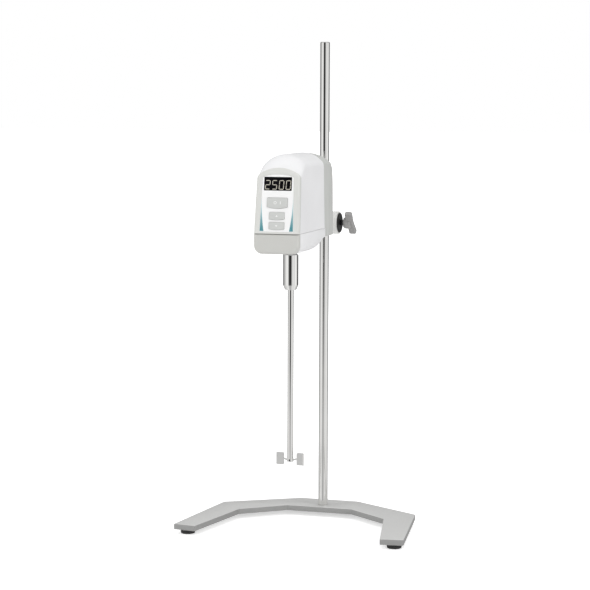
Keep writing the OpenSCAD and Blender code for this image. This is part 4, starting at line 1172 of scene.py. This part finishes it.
# CAD shapes that only need their edges rounded, with the rounding and the finish
DRESSED = {
    "rod_sleeve": (0.3, NYLON), "chassis": (0.3, ALUMINIUM), "motor_can": (0.8, DARK_PAINT),
    "motor_end_bell": (0.5, ALUMINIUM), "motor_rotor": (0.4, TURNED_STEEL),
    "bearing_housing": (0.4, ALUMINIUM), "shaft_seal": (0.4, BLACK_RUBBER),
    "spindle": (0.3, TURNED_STEEL), "chuck_body": (0.3, TURNED_STEEL),
    "chuck_jaws": (0.2, TURNED_STEEL), "spindle_ring": (0.1, BLACK_OXIDE),
    "impeller_pin": (0.15, BLACK_OXIDE), "cord_gland": (0.4, BLACK_RUBBER),
}
# CAD nodes that are shown as they are
NODE_FINISH = {
    "display_module": DARK_PLASTIC, "control_board": CIRCUIT_BOARD, "key_switches": DARK_PLASTIC,
    "board_screws": ZINC, "power_board": CIRCUIT_BOARD,
}

# ---- stage, light and camera, in metres

FLOOR_HALF, FLOOR_GAP = 30.0, 0.0002
FLOOR_NEAR, FADE_START, FADE_END = 0.52, 0.35, 1.3

# the camera's directions, and its place
RIGHT = Vector((0.95833, 0.28566, 0.00307))
BACK = Vector((0.28372, -0.95296, 0.10663))
EYE = (0.87190, -3.10128, 0.72554)
SENSOR_MM, LENS_MM = 36.0, 115.93

# what polished metal mirrors: bearings in degrees from the camera's way back, and brightness
STRIPS = (
    (-180, 0.35), (-150, 0.16), (-125, 0.24), (-95, 0.55), (-70, 0.85), (-50, 1.0), (-37, 0.7),
    (-26, 0.08), (-8, 0.01), (5, 0.04), (15, 0.40), (28, 0.85), (60, 0.75), (78, 1.0),
    (100, 0.75), (116, 0.06), (138, 0.02), (152, 0.35), (180, 0.35)
)
# brightness of the room, and of the card below with its two heights and its strength
ROOM_LIGHT = 0.56
LOW_CARD, LOW_START, LOW_END, LOW_SHARE = 0.8, -0.12, -0.34, 0.55

# name, place, width and height, power
LAMPS = (
    ("overhead", (0.0, -0.3, 2.6), (2.6, 2.6), 20),
    ("right_side", (2.4, -0.9, 1.2), (1.6, 2.2), 19),
    ("left_side", (-2.4, -1.2, 1.2), (1.6, 2.2), 12),
    ("front", (-0.5, -3.0, 1.0), (1.8, 1.8), 16),
    ("behind", (0.4, 2.4, 1.4), (2.2, 2.0), 12),
)
LAMP_TARGET = Vector((0, -0.15, 0.4))


def build_light():
    """Soft lamps round the object, which polished metal doesn't mirror."""
    for name, place, size, power in LAMPS:
        data = bpy.data.lights.new(name, "AREA")
        data.shape, data.size, data.size_y = "RECTANGLE", size[0], size[1]
        data.energy = power
        lamp = placed(name, data)
        lamp.location = place
        lamp.visible_glossy = False
        lamp.rotation_euler = (LAMP_TARGET - lamp.location).to_track_quat("-Z", "Y").to_euler()


def build_floor():
    """A pale floor that fades to white away from the object."""
    half = FLOOR_HALF
    mesh = bpy.data.meshes.new("floor")
    corners = [(-half, -half, 0), (half, -half, 0), (half, half, 0), (-half, half, 0)]
    mesh.from_pydata(corners, [], [(0, 1, 2, 3)])
    floor = placed("floor", mesh)
    floor.location.z = -FLOOR_GAP
    floor.visible_glossy = False
    t = Finish("pale floor")
    distance = t.add("ShaderNodeVectorMath", {0: t.place}, operation="LENGTH").outputs["Value"]
    away = t.span(distance, FADE_START, FADE_END, FLOOR_NEAR, 1.0, "SMOOTHSTEP")
    seen = t.add("ShaderNodeLightPath").outputs["Is Camera Ray"]
    floor.data.materials.append(t.surface(
        t.ramp(t.noise(3.0), (0.84,) * 3, (0.86,) * 3), 1.0, Specular_IOR_Level=0.0,
        Emission_Color=(1, 1, 1, 1), Emission_Strength=t.work_out("MULTIPLY", seen, away)
    ))
    beneath = t.add("ShaderNodeNewGeometry").outputs["Backfacing"]
    clear = t.add("ShaderNodeBsdfTransparent").outputs["BSDF"]
    either = t.add("ShaderNodeMixShader", {0: beneath, 1: t.shader.outputs["BSDF"], 2: clear})
    t.feed(t.tree.nodes["Material Output"].inputs["Surface"], either.outputs["Shader"])


def build_world():
    """A white studio, with cards and dark gaps that only polished metal mirrors."""
    world = bpy.data.worlds.new("studio")
    bpy.context.scene.world = world
    world.use_nodes = True
    t = Shading(world.node_tree, "Generated")
    shares = [
        t.add("ShaderNodeVectorMath", {0: t.place, 1: (axis.x, axis.y, 0)}, operation="DOT_PRODUCT")
        for axis in (RIGHT, BACK)
    ]
    bearing = t.work_out("ARCTAN2", *(share.outputs["Value"] for share in shares))
    strips = t.stops(
        t.span(bearing, -math.pi, math.pi),
        [((degrees + 180) / 360, (value,) * 3) for degrees, value in STRIPS]
    )
    low = t.span(t.height(t.place), LOW_START, LOW_END, 0.0, LOW_SHARE)
    rays = t.add("ShaderNodeLightPath").outputs
    lit = t.mix(rays["Is Glossy Ray"], ROOM_LIGHT, t.mix(low, strips, LOW_CARD))
    seen = t.mix(rays["Is Transmission Ray"], lit, 1.0)
    background = t.tree.nodes["Background"].inputs
    t.feed(background["Color"], t.mix(rays["Is Camera Ray"], seen, 1.0))
    t.feed(background["Strength"], 1.0)


def build_camera():
    data = bpy.data.cameras.new("camera")
    data.sensor_width, data.lens = SENSOR_MM, LENS_MM
    data.clip_end = 100
    camera = placed("camera", data)
    turn = Matrix((RIGHT, BACK.cross(RIGHT), BACK)).transposed()
    camera.matrix_world = Matrix.Translation(EYE) @ turn.to_4x4()
    bpy.context.scene.camera = camera


build_camera()
build_world()
build_light()
build_floor()
for node, material in NODE_FINISH.items():
    only_material(frame["nodes"][node], material)
build_stand()
build_shells()
build_front()
build_keys()
rounded_piece("clamp_block_finished", "clamp_block", WHITE_PAINT, 1.0, 3, 35, smooth=30)
build_washer()
build_knob()
build_clamp_screw()
build_stirrer()
build_screws()
build_bearings()
build_stator()
build_pulleys()
build_belt()
build_boards()
for node, (width, finish) in DRESSED.items():
    rounded_piece(node + "_finished", node, finish, width)

bpy.context.scene.view_settings.view_transform = "Standard"
